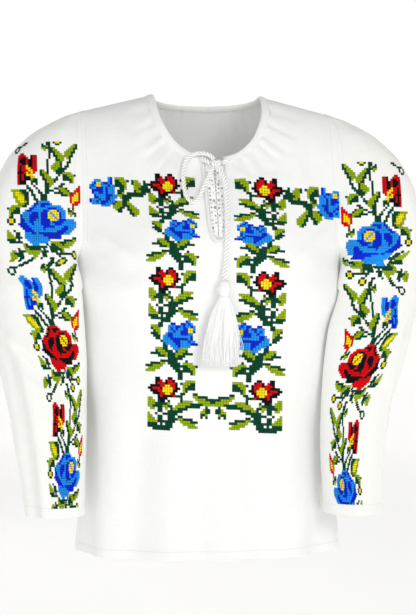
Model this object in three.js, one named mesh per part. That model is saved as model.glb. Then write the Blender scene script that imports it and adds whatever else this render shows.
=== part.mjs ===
// A peasant blouse in its worn, hollow form: straight front and back panels joined at the shoulders and
// sides, full-length sleeves set in at a straight armhole, a bound neckline with a lace-filled front slit,
// and a twisted tie cord that ends in a tassel.
// Millimetres, +Z up, the front faces -Y, and +X is the wearer's left. The origin is where the wearer holds
// the blouse up: between the shoulders, level with the top of the neck.
import * as THREE from "three";

// --- Driving sizes -------------------------------------------------------------------------------------
const wall = 1.6; // cloth with its seam allowances
const seamGap = 0.4; // clear space between two sewn pieces
const clearOfBody = 1.8; // a sleeve hangs this far from the body's side where it lies against it
const pressRound = 7; // and rounds into that over this distance
const armholeX = 184; // half the width across the front between the armhole seams
const neckX = 88; // half the width of the neck opening at the shoulders
const neckTopZ = -4; // shoulder seam at the neck
const shoulderTipZ = -28; // shoulder seam at the armhole
const frontNeckDrop = 105; // from the shoulder seam at the neck down to the front of the neckline
const backNeckDrop = 14;
const scoopTopZ = -215; // the armhole is straight above this, and curves in to the side seam below it
const underarmZ = -285;
const hemZ = -660;
const slitEndZ = -216; // lower end of the front opening
const slitTopHalf = 14; // half width of the front opening at the neckline
const slitEndHalf = 6;
const laceWall = 1.0;
const laceMeet = 0.7; // each lace edge stops this far from the centre line
const laceParting = 1.6; // and this much more at the neckline
const trimRadius = 2.2; // overcast roll that borders the opening
const casingHeight = 9; // bound neckline that carries the tie cord
const casingWall = 4;
const casingGap = 0.5; // to the panels' edge, and this much more over the shoulders
const casingEase = 1.4;
const cordRadius = 3;
const cordSides = 8;

// Depth of the body in front of and behind the shoulder line, at a drop below the shoulder seam: on the
// centre line, and at the armhole edge.
const bodyDepths = [
  { drop: 0, frontMid: 0, frontEdge: 0, backMid: 0, backEdge: 0 },
  { drop: 3, frontMid: 14, frontEdge: 12, backMid: 18, backEdge: 12 },
  { drop: 8, frontMid: 26, frontEdge: 20, backMid: 32, backEdge: 20 },
  { drop: 18, frontMid: 41, frontEdge: 30, backMid: 48, backEdge: 29 },
  { drop: 34, frontMid: 56, frontEdge: 41, backMid: 64, backEdge: 40 },
  { drop: 60, frontMid: 71, frontEdge: 53, backMid: 82, backEdge: 51 },
  { drop: 95, frontMid: 85, frontEdge: 62, backMid: 97, backEdge: 58 },
  { drop: 130, frontMid: 100, frontEdge: 68, backMid: 106, backEdge: 62 },
  { drop: 170, frontMid: 119, frontEdge: 73, backMid: 110, backEdge: 63 },
  { drop: 205, frontMid: 135, frontEdge: 76, backMid: 109, backEdge: 62 },
  { drop: 235, frontMid: 142, frontEdge: 77, backMid: 106, backEdge: 60 },
  { drop: 265, frontMid: 142, frontEdge: 76, backMid: 103, backEdge: 58 },
  { drop: 310, frontMid: 136, frontEdge: 74, backMid: 99, backEdge: 56 },
  { drop: 390, frontMid: 129, frontEdge: 72, backMid: 95, backEdge: 56 },
  { drop: 500, frontMid: 127, frontEdge: 72, backMid: 99, backEdge: 56 },
  { drop: 600, frontMid: 130, frontEdge: 72, backMid: 108, backEdge: 56 },
  { drop: 680, frontMid: 134, frontEdge: 72, backMid: 115, backEdge: 56 },
];
const chestFlatness = 2.4; // how squarely the chest is carried across to the armholes

// Half width of the closed body below the armholes.
const bodyWidths = [
  { z: -205, half: 198 },
  { z: -285, half: 197 },
  { z: -340, half: 190 },
  { z: -400, half: 184 },
  { z: -500, half: 181 },
  { z: -580, half: 184 },
  { z: -660, half: 190 },
];
const bodySquareness = 2.4; // exponent of the body's rounded section

// Sections of a sleeve, from the cap down to the wrist, each a ring through eight named points, [x, y],
// written for the +X side. Above the underarm the ring is open and its ends run along the armhole.
const sleeveSections = [
  { z: -36, under: [184, 0], lap: [190, -20], front: [198, -18], frontOuter: [204, -10], outer: [207, 0],
    backOuter: [204, 10], back: [198, 18], backLap: [190, 20] },
  { z: -60, under: [184, 0], lap: [196, -42], front: [216, -43], frontOuter: [240, -31], outer: [251, 0],
    backOuter: [240, 29], back: [216, 40], backLap: [196, 40] },
  { z: -100, under: [184, 0], lap: [203, -60], front: [238, -63], frontOuter: [273, -50], outer: [290, -5],
    backOuter: [273, 40], back: [238, 56], backLap: [204, 57] },
  { z: -150, under: [184, 0], lap: [205, -74], front: [248, -78], frontOuter: [293, -64], outer: [311, -9],
    backOuter: [291, 45], back: [246, 64], backLap: [204, 64] },
  { z: -205, under: [192, 0], lap: [206, -83], front: [250, -88], frontOuter: [300, -72], outer: [320, -12],
    backOuter: [298, 46], back: [248, 66], backLap: [206, 66] },
  { z: -285, under: [200, 0], lap: [186, -86], front: [226, -99], frontOuter: [290, -85], outer: [321, -20],
    backOuter: [297, 43], back: [246, 62], backLap: [211, 48] },
  { z: -340, under: [188, -6], lap: [182, -86], front: [219, -106], frontOuter: [281, -94], outer: [312, -32],
    backOuter: [290, 29], back: [242, 49], backLap: [206, 38] },
  { z: -400, under: [180, -14], lap: [180, -86], front: [213, -112], frontOuter: [268, -103], outer: [299, -44],
    backOuter: [279, 14], back: [237, 33], backLap: [202, 22] },
  { z: -501, under: [176, -34], lap: [181, -90], front: [208, -119], frontOuter: [249, -115], outer: [278, -66],
    backOuter: [264, -14], back: [232, 4], backLap: [201, -6] },
  { z: -600, under: [180, -56], lap: [184, -98], front: [206, -123], frontOuter: [237, -120], outer: [260, -84],
    backOuter: [251, -46], back: [227, -30], backLap: [200, -36] },
];
const ringPoints = ["under", "lap", "front", "frontOuter", "outer", "backOuter", "back", "backLap"];

// How far the wearer's left forearm is carried in towards the body and forward.
const leftArmDrift = [
  { z: -205, inward: 0, forward: 0 },
  { z: -285, inward: 4, forward: 2 },
  { z: -350, inward: 20, forward: 12 },
  { z: -501, inward: 27, forward: 17 },
  { z: -600, inward: 24, forward: 24 },
];

// Grids of the cloth pieces.
const slitColumn = 0.076; // the column that follows the slit's edge
const neckColumns = [slitColumn, 0.17, 0.27, 0.36, 0.42, 0.455, 0.471, neckX / armholeX];
const halfColumns = [0, ...neckColumns, 0.57, 0.66, 0.75, 0.84, 0.92, 1];
const upperRows = [0, 0.05, 0.12, 0.22, 0.35, 0.5, 0.68, 0.85, 1];
const lowerRows = [-240, -262, underarmZ, -320, -360, -405, -455, -510, -560, -610, hemZ];
const capRows = [-36, -44, -58, -76, -100, -130, -170, -215, -240, -263, underarmZ];
const armRows = [-312, -340, -370, -400, -450, -500, -550, -600];
const sleeveColumns = 24;

// --- Small tools ---------------------------------------------------------------------------------------
const mix = (a, b, k) => a + (b - a) * k;
const ease = (a, b, x) => {
  const k = Math.min(1, Math.max(0, (x - a) / (b - a)));
  return k * k * (3 - 2 * k);
};

// The larger of two lengths, rounded off where they are alike.
const roundedMax = (a, b, round) => (a + b + Math.hypot(a - b, round)) / 2;

// A value of a table at a key, on a smooth line through its rows that never overshoots them.
function read(table, key, at, pick) {
  const last = table.length - 1;
  const rising = table[last][key] > table[0][key];
  let i = 0;
  while (i < last - 1 && (rising ? table[i + 1][key] < at : table[i + 1][key] > at)) i++;
  const span = table[i + 1][key] - table[i][key];
  const k = Math.min(1, Math.max(0, (at - table[i][key]) / span));
  const steep = (j) => (pick(table[j + 1]) - pick(table[j])) / (table[j + 1][key] - table[j][key]);
  const slope = (j) => {
    if (j === 0) return steep(0);
    if (j === last) return steep(last - 1);
    const before = steep(j - 1);
    const after = steep(j);
    return before * after <= 0 ? 0 : (2 * before * after) / (before + after);
  };
  const a = pick(table[i]);
  const b = pick(table[i + 1]);
  const k2 = k * k;
  const k3 = k2 * k;
  return a * (2 * k3 - 3 * k2 + 1) + b * (3 * k2 - 2 * k3)
    + slope(i) * span * (k3 - 2 * k2 + k) + slope(i + 1) * span * (k3 - k2);
}

// The outward direction of a grid at a point: its rows run down the cloth and its columns run across it, so
// that outward is the side from which the columns run left to right.
function gridNormal(grid, r, c) {
  const down = grid[Math.min(r + 1, grid.length - 1)][c].clone().sub(grid[Math.max(r - 1, 0)][c]);
  const across = grid[r][Math.min(c + 1, grid[r].length - 1)].clone().sub(grid[r][Math.max(c - 1, 0)]);
  return down.cross(across).normalize();
}

// A closed shell of one wall thickness on the inner side of a grid of points, with the cells that keep()
// refuses left out. normalAt(row, column) gives the direction that the wall is measured along.
function clothShell(grid, thickness, { keep = () => true, normalAt = (r, c) => gridNormal(grid, r, c) } = {}) {
  const rows = grid.length;
  const cols = grid[0].length;
  const positions = [];
  const index = [];
  const inward = [];
  for (let r = 0; r < rows; r++)
    for (let c = 0; c < cols; c++) {
      positions.push(...grid[r][c].toArray());
      inward.push(...grid[r][c].clone().addScaledVector(normalAt(r, c).normalize(), -thickness).toArray());
    }
  positions.push(...inward);
  const outer = (r, c) => r * cols + c;
  const inner = (r, c) => rows * cols + r * cols + c;
  const has = (r, c) => r >= 0 && c >= 0 && r < rows - 1 && c < cols - 1 && keep(r, c);
  const quad = (a, b, c, d) => index.push(a, b, c, a, c, d);
  for (let r = 0; r < rows - 1; r++)
    for (let c = 0; c < cols - 1; c++) {
      if (!has(r, c)) continue;
      quad(outer(r, c), outer(r + 1, c), outer(r + 1, c + 1), outer(r, c + 1));
      quad(inner(r, c), inner(r, c + 1), inner(r + 1, c + 1), inner(r + 1, c));
      if (!has(r - 1, c)) quad(outer(r, c), outer(r, c + 1), inner(r, c + 1), inner(r, c));
      if (!has(r + 1, c)) quad(outer(r + 1, c + 1), outer(r + 1, c), inner(r + 1, c), inner(r + 1, c + 1));
      if (!has(r, c - 1)) quad(outer(r + 1, c), outer(r, c), inner(r, c), inner(r + 1, c));
      if (!has(r, c + 1)) quad(outer(r, c + 1), outer(r + 1, c + 1), inner(r + 1, c + 1), inner(r, c + 1));
    }
  const geometry = new THREE.BufferGeometry();
  geometry.setAttribute("position", new THREE.Float32BufferAttribute(positions, 3));
  geometry.setIndex(index);
  geometry.computeVertexNormals();
  return geometry;
}

// A round cord along a smooth line through points, with flat ends.
function cordAlong(points, radius, steps) {
  const section = new THREE.Shape();
  for (let i = 0; i <= cordSides; i++) {
    const a = (i / cordSides) * 2 * Math.PI;
    section[i ? "lineTo" : "moveTo"](radius * Math.cos(a), radius * Math.sin(a));
  }
  const path = new THREE.CatmullRomCurve3(points.map((p) => new THREE.Vector3(...p)), false, "centripetal");
  return new THREE.ExtrudeGeometry(section, { steps, extrudePath: path });
}

// --- The body's form -----------------------------------------------------------------------------------
function ridgeZ(x) {
  const outer = Math.abs(x);
  if (outer < neckX) return neckTopZ + 10 * (1 - (outer / neckX) ** 2);
  return mix(neckTopZ, shoulderTipZ, (outer - neckX) / (armholeX - neckX));
}

// A point of the front (facing -1) or back (facing 1) panel: q runs across from -1 to 1.
function bodyPoint(facing, z, q, x = armholeX * q) {
  const side = facing < 0 ? "front" : "back";
  const drop = Math.max(0, ridgeZ(x) - z);
  const mid = read(bodyDepths, "drop", drop, (row) => row[side + "Mid"]);
  const edge = read(bodyDepths, "drop", drop, (row) => row[side + "Edge"]);
  const share = Math.abs(x / armholeX) ** chestFlatness;
  const straight = new THREE.Vector3(x, facing * mix(mid, edge, share), z);
  const half = read(bodyWidths, "z", z, (row) => row.half);
  const even = armholeX / half;
  const turn = even * q + (2.5 - 2 * even) * q ** 3 + (even - 1.5) * q ** 5;
  const deep = Math.max(0, 1 - Math.abs(turn) ** bodySquareness) ** (1 / bodySquareness);
  const round = new THREE.Vector3(half * turn, facing * mid * deep, z);
  const point = straight.lerp(round, ease(scoopTopZ, underarmZ, z));
  point.y += (facing * seamGap) / 2;
  return point;
}

// The body's outward direction at a point of a panel.
function bodyNormal(facing, z, q, x) {
  const dz = 0.4;
  const dq = 0.004;
  const low = Math.max(-1, q - dq);
  const high = Math.min(1, q + dq);
  const up = bodyPoint(facing, z + dz, q, x).sub(bodyPoint(facing, z - dz, q, x));
  const across = bodyPoint(facing, z, high, x + armholeX * (high - q))
    .sub(bodyPoint(facing, z, low, x + armholeX * (low - q)));
  return across.cross(up).multiplyScalar(-facing).normalize();
}

// How far out the body's side reaches at a depth y and height z.
function bodySideX(y, z) {
  const facing = y < 0 ? -1 : 1;
  const steps = 40;
  let outer = bodyPoint(facing, z, 1);
  for (let i = 1; i <= steps; i++) {
    const next = bodyPoint(facing, z, 1 - (0.6 * i) / steps);
    if (Math.abs(outer.y) >= Math.abs(y)) return outer.x;
    if (Math.abs(next.y) >= Math.abs(y))
      return mix(outer.x, next.x, (Math.abs(y) - Math.abs(outer.y)) / (Math.abs(next.y) - Math.abs(outer.y)));
    outer = next;
  }
  return 0;
}

// Height of the neckline at x on the front or back panel.
function necklineZ(facing, x) {
  const drop = facing < 0 ? frontNeckDrop : backNeckDrop;
  return neckTopZ - drop * Math.sqrt(Math.max(0, 1 - (Math.abs(x) / neckX) ** 2.2));
}

function topEdgeZ(facing, x) {
  return Math.abs(x) < neckX ? necklineZ(facing, x) : ridgeZ(x);
}

// Half width of the front opening at a height.
function slitHalf(z) {
  const top = necklineZ(-1, 0);
  const k = (top - z) / (top - slitEndZ);
  if (k >= 1) return mix(slitEndHalf, slitTopHalf, ease(1, 1.8, k));
  return mix(slitTopHalf, slitEndHalf + 3, k) - 3 * ease(0.85, 1, k);
}

const columns = [...halfColumns.slice(1).reverse().map((q) => -q), ...halfColumns];

function panel(facing) {
  const hasSlit = facing < 0;
  const edgeColumn = columns.length - 1;
  const ordered = facing < 0 ? columns : [...columns].reverse();
  const besideSlit = (q) => hasSlit && Math.abs(Math.abs(q) - slitColumn) < 1e-9;
  const xAt = (z, q) => (besideSlit(q) ? Math.sign(q) * slitHalf(z) : armholeX * q);
  const levels = [
    ...upperRows.map((k) => (q) => mix(topEdgeZ(facing, besideSlit(q) ? slitTopHalf : armholeX * q), slitEndZ, k)),
    ...lowerRows.map((z) => () => z),
  ];
  const grid = levels.map((level) => ordered.map((q) => {
    const z = level(q);
    return bodyPoint(facing, z, besideSlit(q) ? xAt(z, q) / armholeX : q, xAt(z, q));
  }));
  const middle = (columns.length - 1) / 2;
  return clothShell(grid, wall, {
    keep: (r, c) => !(hasSlit && r < upperRows.length - 1 && (c === middle - 1 || c === middle)),
    normalAt: (r, c) => {
      const q = ordered[c];
      const z = grid[r][c].z;
      const normal = bodyNormal(facing, z, besideSlit(q) ? xAt(z, q) / armholeX : q, xAt(z, q));
      const onShoulder = r === 0 && Math.abs(q) >= neckX / armholeX - 1e-9;
      const onSide = (c === 0 || c === edgeColumn) && z <= underarmZ + 1;
      if (onShoulder || onSide) normal.y = 0;
      return normal;
    },
  });
}

// --- The sleeves ---------------------------------------------------------------------------------------
// The armhole's edge on the front or back panel at a height, moved out to the sleeve's side of the seam.
function armholeEdge(facing, z) {
  const edge = bodyPoint(facing, z, 1);
  edge.x += seamGap;
  return edge;
}

// A ring of the sleeve on the +X (side 1) or -X (side -1) side, drawn on the +X side.
function sleeveRing(side, z) {
  const inward = side > 0 ? read(leftArmDrift, "z", z, (row) => row.inward) : 0;
  const forward = side > 0 ? read(leftArmDrift, "z", z, (row) => row.forward) : 0;
  const knots = ringPoints.map((name) => new THREE.Vector3(
    read(sleeveSections, "z", z, (row) => row[name][0]) - inward,
    read(sleeveSections, "z", z, (row) => row[name][1]) - forward,
    z,
  ));
  const open = z > underarmZ;
  const start = open ? armholeEdge(-1, z) : knots[0].clone();
  const end = open ? armholeEdge(1, z) : knots[0].clone();
  if (!open) {
    start.y -= seamGap / 2;
    end.y += seamGap / 2;
  }
  const line = new THREE.CatmullRomCurve3([start, ...knots.slice(1), end], false, "centripetal");
  const ring = line.getPoints(sleeveColumns);
  ring.forEach((p, i) => {
    if (open && (i === 0 || i === sleeveColumns)) return;
    const near = Math.max(0, Math.abs(p.y) - clearOfBody) * Math.sign(p.y);
    const clear = open ? Math.min(clearOfBody, 0.3 * Math.min(i, sleeveColumns - i)) : clearOfBody;
    p.x = roundedMax(p.x, bodySideX(near, z) + clear, open ? 2 * clear : pressRound);
  });
  return ring;
}

function sleeve(side) {
  const capDrop = 5; // the cap's first row follows the armhole over the shoulder tip
  const depth = read(bodyDepths, "drop", capDrop, (row) => row.frontEdge);
  const top = [];
  for (let c = 0; c <= sleeveColumns; c++) {
    const s = (2 * c) / sleeveColumns - 1;
    top.push(new THREE.Vector3(armholeX + seamGap, s * depth, shoulderTipZ - capDrop * s * s));
  }
  const grid = [top, ...[...capRows, ...armRows].map((z) => sleeveRing(side, z))];
  const placed = grid.map((row) => row.map((p) => new THREE.Vector3(side * p.x, p.y, p.z)));
  const ordered = side > 0 ? placed : placed.map((row) => [...row].reverse());
  return clothShell(ordered, wall, {
    normalAt: (r, c) => {
      const normal = gridNormal(ordered, r, c);
      const onUnderSeam = (c === 0 || c === sleeveColumns) && r >= capRows.length;
      if (onUnderSeam) normal.y = 0;
      if (r === 0) normal.x = 0;
      return normal;
    },
  });
}

// --- Neckline casing, lace and trim --------------------------------------------------------------------
// The casing continues the cloth past the neckline, from one side of the slit round the back to the other.
function neckCasing() {
  const edge = (facing, q, grow) => {
    const x = armholeX * q;
    const below = neckTopZ - necklineZ(facing, x);
    const lower = facing < 0 ? 0 : 20 * (grow - 1) * (1 - q);
    return bodyPoint(facing, Math.min(neckTopZ - below * grow - lower, ridgeZ(x * grow)), q * grow, x * grow);
  };
  const ring = (grow) => {
    const front = neckColumns.map((q) => edge(-1, q, grow));
    const back = [...neckColumns.slice(0, -1).reverse(), 0].map((q) => edge(1, q, grow));
    const half = [...front, ...back];
    half[0].x += 1;
    return [...half, ...half.slice(0, -1).reverse().map((p) => new THREE.Vector3(-p.x, p.y, p.z))];
  };
  const line = ring(1);
  const beyond = ring(1.08);
  const grid = [[], [], []];
  line.forEach((p, i) => {
    const along = line[Math.min(i + 1, line.length - 1)].clone().sub(line[Math.max(i - 1, 0)]).normalize();
    const across = p.clone().sub(beyond[i]);
    across.addScaledVector(along, -across.dot(along)).normalize();
    const out = along.clone().cross(across).normalize();
    const foot = p.clone().addScaledVector(out, (casingWall - wall) / 2);
    const gap = casingGap + casingEase * Math.abs(p.x / neckX) ** 4;
    [1, 0.5, 0].forEach((k, row) => grid[row].push(foot.clone().addScaledVector(across, gap + casingHeight * k)));
  });
  return clothShell(grid, casingWall);
}

// A lace strip fills one side of the opening, from the slit's edge to the centre line.
function lace(side) {
  const top = topEdgeZ(-1, slitTopHalf);
  const grid = [];
  const across = [0, 0.5, 1];
  for (const k of upperRows) {
    const z = mix(top, slitEndZ, k) - mix(1, -0.6, k);
    const inner = laceMeet + laceParting * (1 - ease(0, 0.5, k));
    const outer = slitHalf(z) - seamGap * 1.2;
    const xs = across.map((k) => side * mix(inner, outer, k));
    grid.push((side > 0 ? xs : xs.reverse()).map((x) => bodyPoint(-1, z, x / armholeX, x)));
  }
  return clothShell(grid, laceWall);
}

// A point in front of the front panel at x and z, standing off it by a distance.
function beforeFront(x, z, standOff) {
  const p = bodyPoint(-1, z, x / armholeX, x);
  return [p.x, p.y - standOff, p.z];
}

// The overcast roll lies on the front panel round the opening.
function slitTrim() {
  const standOff = trimRadius + seamGap + 0.3;
  const top = necklineZ(-1, 0) - 2;
  const beside = slitEndZ + 8;
  const levels = 7;
  const right = [];
  for (let i = 0; i < levels; i++) {
    const z = mix(top, beside, i / (levels - 1));
    right.push(beforeFront(slitHalf(z) + trimRadius, z, standOff));
  }
  right.push(beforeFront(slitEndHalf + 0.6, slitEndZ - 1, standOff));
  const left = right.map(([x, y, z]) => [-x, y, z]).reverse();
  return cordAlong([...right, beforeFront(0, slitEndZ - 4.5, standOff), ...left], trimRadius, 28);
}

// --- Tie cord and tassel -------------------------------------------------------------------------------
// Routes in front of the panel: x, z and how far the cord's middle stands off the cloth.
const knotAt = beforeFront(1, -112, 12.5);
const knotSize = { across: 7.5, deep: 5.5, tall: 7 };
const leadRoute = [
  { x: 19, z: -102.4, off: 3.7 },
  { x: 18.4, z: -103, off: 6.4 },
  { x: 15.8, z: -105.2, off: 9.6 },
  { x: 9.5, z: -110, off: 12.3 },
];
const loopRoute = [
  { x: -1.8, z: -104.2, off: 14.8 },
  { x: -8, z: -98.6, off: 15.5 },
  { x: -19, z: -95.6, off: 12.5 },
  { x: -32, z: -98, off: 9 },
  { x: -40, z: -105.6, off: 7 },
  { x: -43, z: -116, off: 6 },
  { x: -45, z: -132, off: 5.5 },
  { x: -44, z: -148, off: 5.5 },
  { x: -40.5, z: -160, off: 5.5 },
  { x: -34.5, z: -165.5, off: 5.5 },
  { x: -27, z: -161.5, off: 6 },
  { x: -20, z: -149, off: 9 },
  { x: -13.5, z: -135, off: 11 },
  { x: -7, z: -122.6, off: 13.5 },
  { x: -3.9, z: -118, off: 13.6 },
];
const tailRoute = [
  { x: 4.2, z: -117.8, off: 13.2 },
  { x: 8.8, z: -124.6, off: 13.4 },
  { x: 13.4, z: -140, off: 12.5 },
  { x: 15.2, z: -162, off: 11 },
  { x: 16.4, z: -190, off: 9.5 },
  { x: 16.6, z: -215, off: 7 },
  { x: 15.4, z: -236, off: 6.5 },
  { x: 12.6, z: -255, off: 7.5 },
  { x: 9.6, z: -268, off: 9.5 },
  { x: 8.6, z: -273, off: 10.2 },
];
const tasselTop = beforeFront(8.5, -274, 10.2);
const tasselHead = { radius: 8.8, tall: 22 };
const tasselSkirt = { long: 102, deep: 13, wide: 27, neck: 6, lean: -6, back: 6 };

const route = (rows) => rows.map((row) => beforeFront(row.x, row.z, row.off));

function knot() {
  const geometry = new THREE.SphereGeometry(1, 12, 8);
  geometry.scale(knotSize.across, knotSize.deep, knotSize.tall);
  return geometry;
}

// A closed lathe profile from [radius, height] rows.
function turned(profile, segments) {
  return new THREE.LatheGeometry(profile.map(([r, z]) => new THREE.Vector2(r, z)), segments).rotateX(Math.PI / 2);
}

function tasselHeadSolid() {
  const { radius, tall } = tasselHead;
  return turned([[0, -tall], [radius * 0.62, -tall], [radius * 0.74, -tall * 0.8], [radius, -tall * 0.45],
    [radius * 0.86, -tall * 0.15], [radius * 0.45, 0], [0, 0]], 14);
}

function tasselSkirtSolid() {
  const { long, deep, wide, neck, lean, back } = tasselSkirt;
  const spread = [
    { down: 0, share: 0 },
    { down: 0.12, share: 0.25 },
    { down: 0.35, share: 0.58 },
    { down: 0.7, share: 0.87 },
    { down: 1, share: 1 },
  ];
  const profile = [[0, -long], ...spread.map((row) => [1, -row.down * long]).reverse(), [0, 0]];
  const geometry = turned(profile, 16);
  const p = geometry.attributes.position;
  for (let i = 0; i < p.count; i++) {
    const down = -p.getZ(i) / long;
    const share = read(spread, "down", down, (row) => row.share);
    p.setX(i, p.getX(i) * mix(neck, wide, share) + lean * down);
    p.setY(i, p.getY(i) * mix(neck, deep, share) + back * down);
  }
  return geometry;
}

// --- Assembly ------------------------------------------------------------------------------------------
const linen = new THREE.MeshStandardMaterial({ name: "linen", color: 0xf1f0ea, roughness: 0.9, metalness: 0 });
const laceThread = new THREE.MeshStandardMaterial({ name: "lace", color: 0xeeeeea, roughness: 0.85, metalness: 0 });
const cordYarn = new THREE.MeshStandardMaterial({ name: "cord", color: 0xf3f3ee, roughness: 0.75, metalness: 0 });

const blouse = new THREE.Group();
function add(name, geometry, material, position = [0, 0, 0]) {
  const mesh = new THREE.Mesh(geometry, material.clone());
  mesh.name = name;
  mesh.position.set(...position);
  blouse.add(mesh);
}

add("front_panel", panel(-1), linen);
add("back_panel", panel(1), linen);
add("sleeve_left", sleeve(1), linen);
add("sleeve_right", sleeve(-1), linen);
add("neck_casing", neckCasing(), linen);
add("lace_left", lace(1), laceThread);
add("lace_right", lace(-1), laceThread);
add("slit_trim", slitTrim(), cordYarn);
add("cord_lead_left", cordAlong(route(leadRoute), cordRadius, 5), cordYarn);
add("cord_lead_right", cordAlong(route(leadRoute).map(([x, y, z]) => [2 - x, y, z]), cordRadius, 5), cordYarn);
add("tie_knot", knot(), cordYarn, knotAt);
add("cord_loop", cordAlong(route(loopRoute), cordRadius, 26), cordYarn);
add("cord_tail", cordAlong(route(tailRoute), cordRadius, 18), cordYarn);
add("tassel_head", tasselHeadSolid(), cordYarn, tasselTop);
add("tassel_skirt", tasselSkirtSolid(), cordYarn,
  [tasselTop[0], tasselTop[1], tasselTop[2] - tasselHead.tall - seamGap]);

export default blouse;
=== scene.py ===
# A peasant blouse in its worn, hollow form: linen shells with listed folds, cross-stitched bands,
# a lace-filled front slit, and a twisted tie cord that ends in a tassel.
# Tables and lengths are in millimetres until a mesh is made. +Z is up, the front faces -Y, and +X is the
# wearer's left.
import math

import bpy
import numpy as np
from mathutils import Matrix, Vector
from mathutils.bvhtree import BVHTree


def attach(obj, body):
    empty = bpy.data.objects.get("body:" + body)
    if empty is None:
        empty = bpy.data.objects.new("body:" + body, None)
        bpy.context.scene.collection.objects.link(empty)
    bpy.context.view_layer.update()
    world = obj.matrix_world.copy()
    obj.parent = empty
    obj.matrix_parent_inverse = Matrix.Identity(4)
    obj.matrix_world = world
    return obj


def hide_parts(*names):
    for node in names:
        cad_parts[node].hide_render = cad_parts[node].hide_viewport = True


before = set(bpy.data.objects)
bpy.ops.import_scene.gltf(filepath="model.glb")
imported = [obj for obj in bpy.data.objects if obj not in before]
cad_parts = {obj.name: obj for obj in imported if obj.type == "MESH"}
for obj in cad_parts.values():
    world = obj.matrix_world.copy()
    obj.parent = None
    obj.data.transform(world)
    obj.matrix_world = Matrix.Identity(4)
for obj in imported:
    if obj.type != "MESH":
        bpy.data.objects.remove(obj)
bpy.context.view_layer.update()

mm = 0.001
print("frame loaded:", len(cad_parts), "nodes")


# Small tools

def mix(a, b, k):
    return a + (b - a) * k


def smooth(a, b, x):  # 0 at a, 1 at b, soft at both ends
    k = np.clip((x - a) / (b - a), 0, 1)
    return k * k * (3 - 2 * k)


def bell(x, width):
    return np.exp(-(x / width) ** 2)


def tableOf(names, rows):  # named columns, the first of which is the key
    values = np.array(sorted(rows), float)
    return {name: values[:, i] for i, name in enumerate(names.split())}


def readTable(table, name, at):  # on a smooth line through the rows that never overshoots them
    keys = next(iter(table.values()))
    values = table[name]
    at = np.clip(at, keys[0], keys[-1])
    i = np.clip(np.searchsorted(keys, at) - 1, 0, len(keys) - 2)
    steep = np.diff(values) / np.diff(keys)
    before, after = steep[:-1], steep[1:]
    rising = before * after > 0
    slope = np.concatenate([steep[:1], np.zeros(len(before)), steep[-1:]])
    slope[1:-1][rising] = 2 * (before * after)[rising] / (before + after)[rising]
    span = keys[i + 1] - keys[i]
    k = (at - keys[i]) / span
    k2, k3 = k * k, k * k * k
    ends = values[i] * (2 * k3 - 3 * k2 + 1) + values[i + 1] * (3 * k2 - 2 * k3)
    return ends + slope[i] * span * (k3 - 2 * k2 + k) + slope[i + 1] * span * (k3 - k2)


def unit(v):
    return v / np.maximum(np.linalg.norm(v, axis=-1, keepdims=True), 1e-9)


def arcLength(points):  # running length along the last but one axis
    steps = np.linalg.norm(np.diff(points, axis=-2), axis=-1)
    return np.concatenate([np.zeros(steps.shape[:-1] + (1,)), np.cumsum(steps, -1)], -1)


def smoothLine(points, perSpan):  # centripetal curve through points
    p = np.asarray(points, float)
    p = np.vstack([2 * p[0] - p[1], p, 2 * p[-1] - p[-2]])
    gaps = np.maximum(np.linalg.norm(np.diff(p, axis=0), axis=1) ** 0.5, 1e-4)
    t = np.linspace(0, 1, perSpan, endpoint=False)[:, None]
    made = []
    for i in range(1, len(p) - 2):
        d0, d1, d2 = gaps[i - 1:i + 2]
        a, b, c, d = p[i - 1:i + 3]
        t1 = ((b - a) / d0 - (c - a) / (d0 + d1) + (c - b) / d1) * d1
        t2 = ((c - b) / d1 - (d - b) / (d1 + d2) + (d - c) / d2) * d1
        made.append(b + t1 * t + (3 * (c - b) - 2 * t1 - t2) * t**2 + (2 * (b - c) + t1 + t2) * t**3)
    return np.vstack(made + [p[-2:-1]])


def evenLine(line, step):  # the same line in even steps of about this length
    s = arcLength(line)
    at = np.linspace(0, s[-1], max(2, round(s[-1] / step) + 1))
    return np.stack([np.interp(at, s, line[:, i]) for i in range(3)], -1)


def softNoise(u, v, size, seed):  # smooth random hills between -1 and 1
    grid = np.random.default_rng(seed).uniform(-1, 1, (61, 61))
    u, v = u / size + 31.3, v / size + 17.7
    i, j = np.floor(u).astype(int), np.floor(v).astype(int)
    a, b = smooth(0, 1, u - i), smooth(0, 1, v - j)
    corner = lambda di, dj: grid[(i + di) % 61, (j + dj) % 61]
    return mix(mix(corner(0, 0), corner(1, 0), a), mix(corner(0, 1), corner(1, 1), a), b)


def makeMesh(name, points, faces, uv=None, materials=(), materialIndex=None, sharpAt=50, shade=None):
    mesh = bpy.data.meshes.new(name)
    mesh.from_pydata((np.asarray(points) * mm).tolist(), [], [list(face) for face in faces])
    if uv is not None:
        layer = mesh.uv_layers.new(name="cloth")
        corners = np.zeros(len(mesh.loops), int)
        mesh.loops.foreach_get("vertex_index", corners)
        layer.data.foreach_set("uv", (np.asarray(uv)[corners] * mm).ravel())
    if shade is not None:  # painted shade and highlight: how light each point is painted, darker in its thread's own hollows
        shades = mesh.attributes.new("shade", "FLOAT", "POINT")
        shades.data.foreach_set("value", np.asarray(shade, np.float32))
    for material in materials:
        mesh.materials.append(material)
    if materialIndex is not None:
        mesh.polygons.foreach_set("material_index", np.asarray(materialIndex, np.int32))
    mesh.validate()
    mesh.shade_smooth()
    if sharpAt:
        mesh.set_sharp_from_angle(angle=math.radians(sharpAt))
    obj = bpy.data.objects.new(name, mesh)
    bpy.context.scene.collection.objects.link(obj)
    return obj


def gridCells(rows, cols, wrap=False):  # corner numbers of each cell of a grid
    r, c = np.meshgrid(np.arange(rows - 1), np.arange(cols if wrap else cols - 1), indexing="ij")
    right = (c + 1) % cols
    return np.stack([r * cols + c, (r + 1) * cols + c, (r + 1) * cols + right, r * cols + right], -1)


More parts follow.
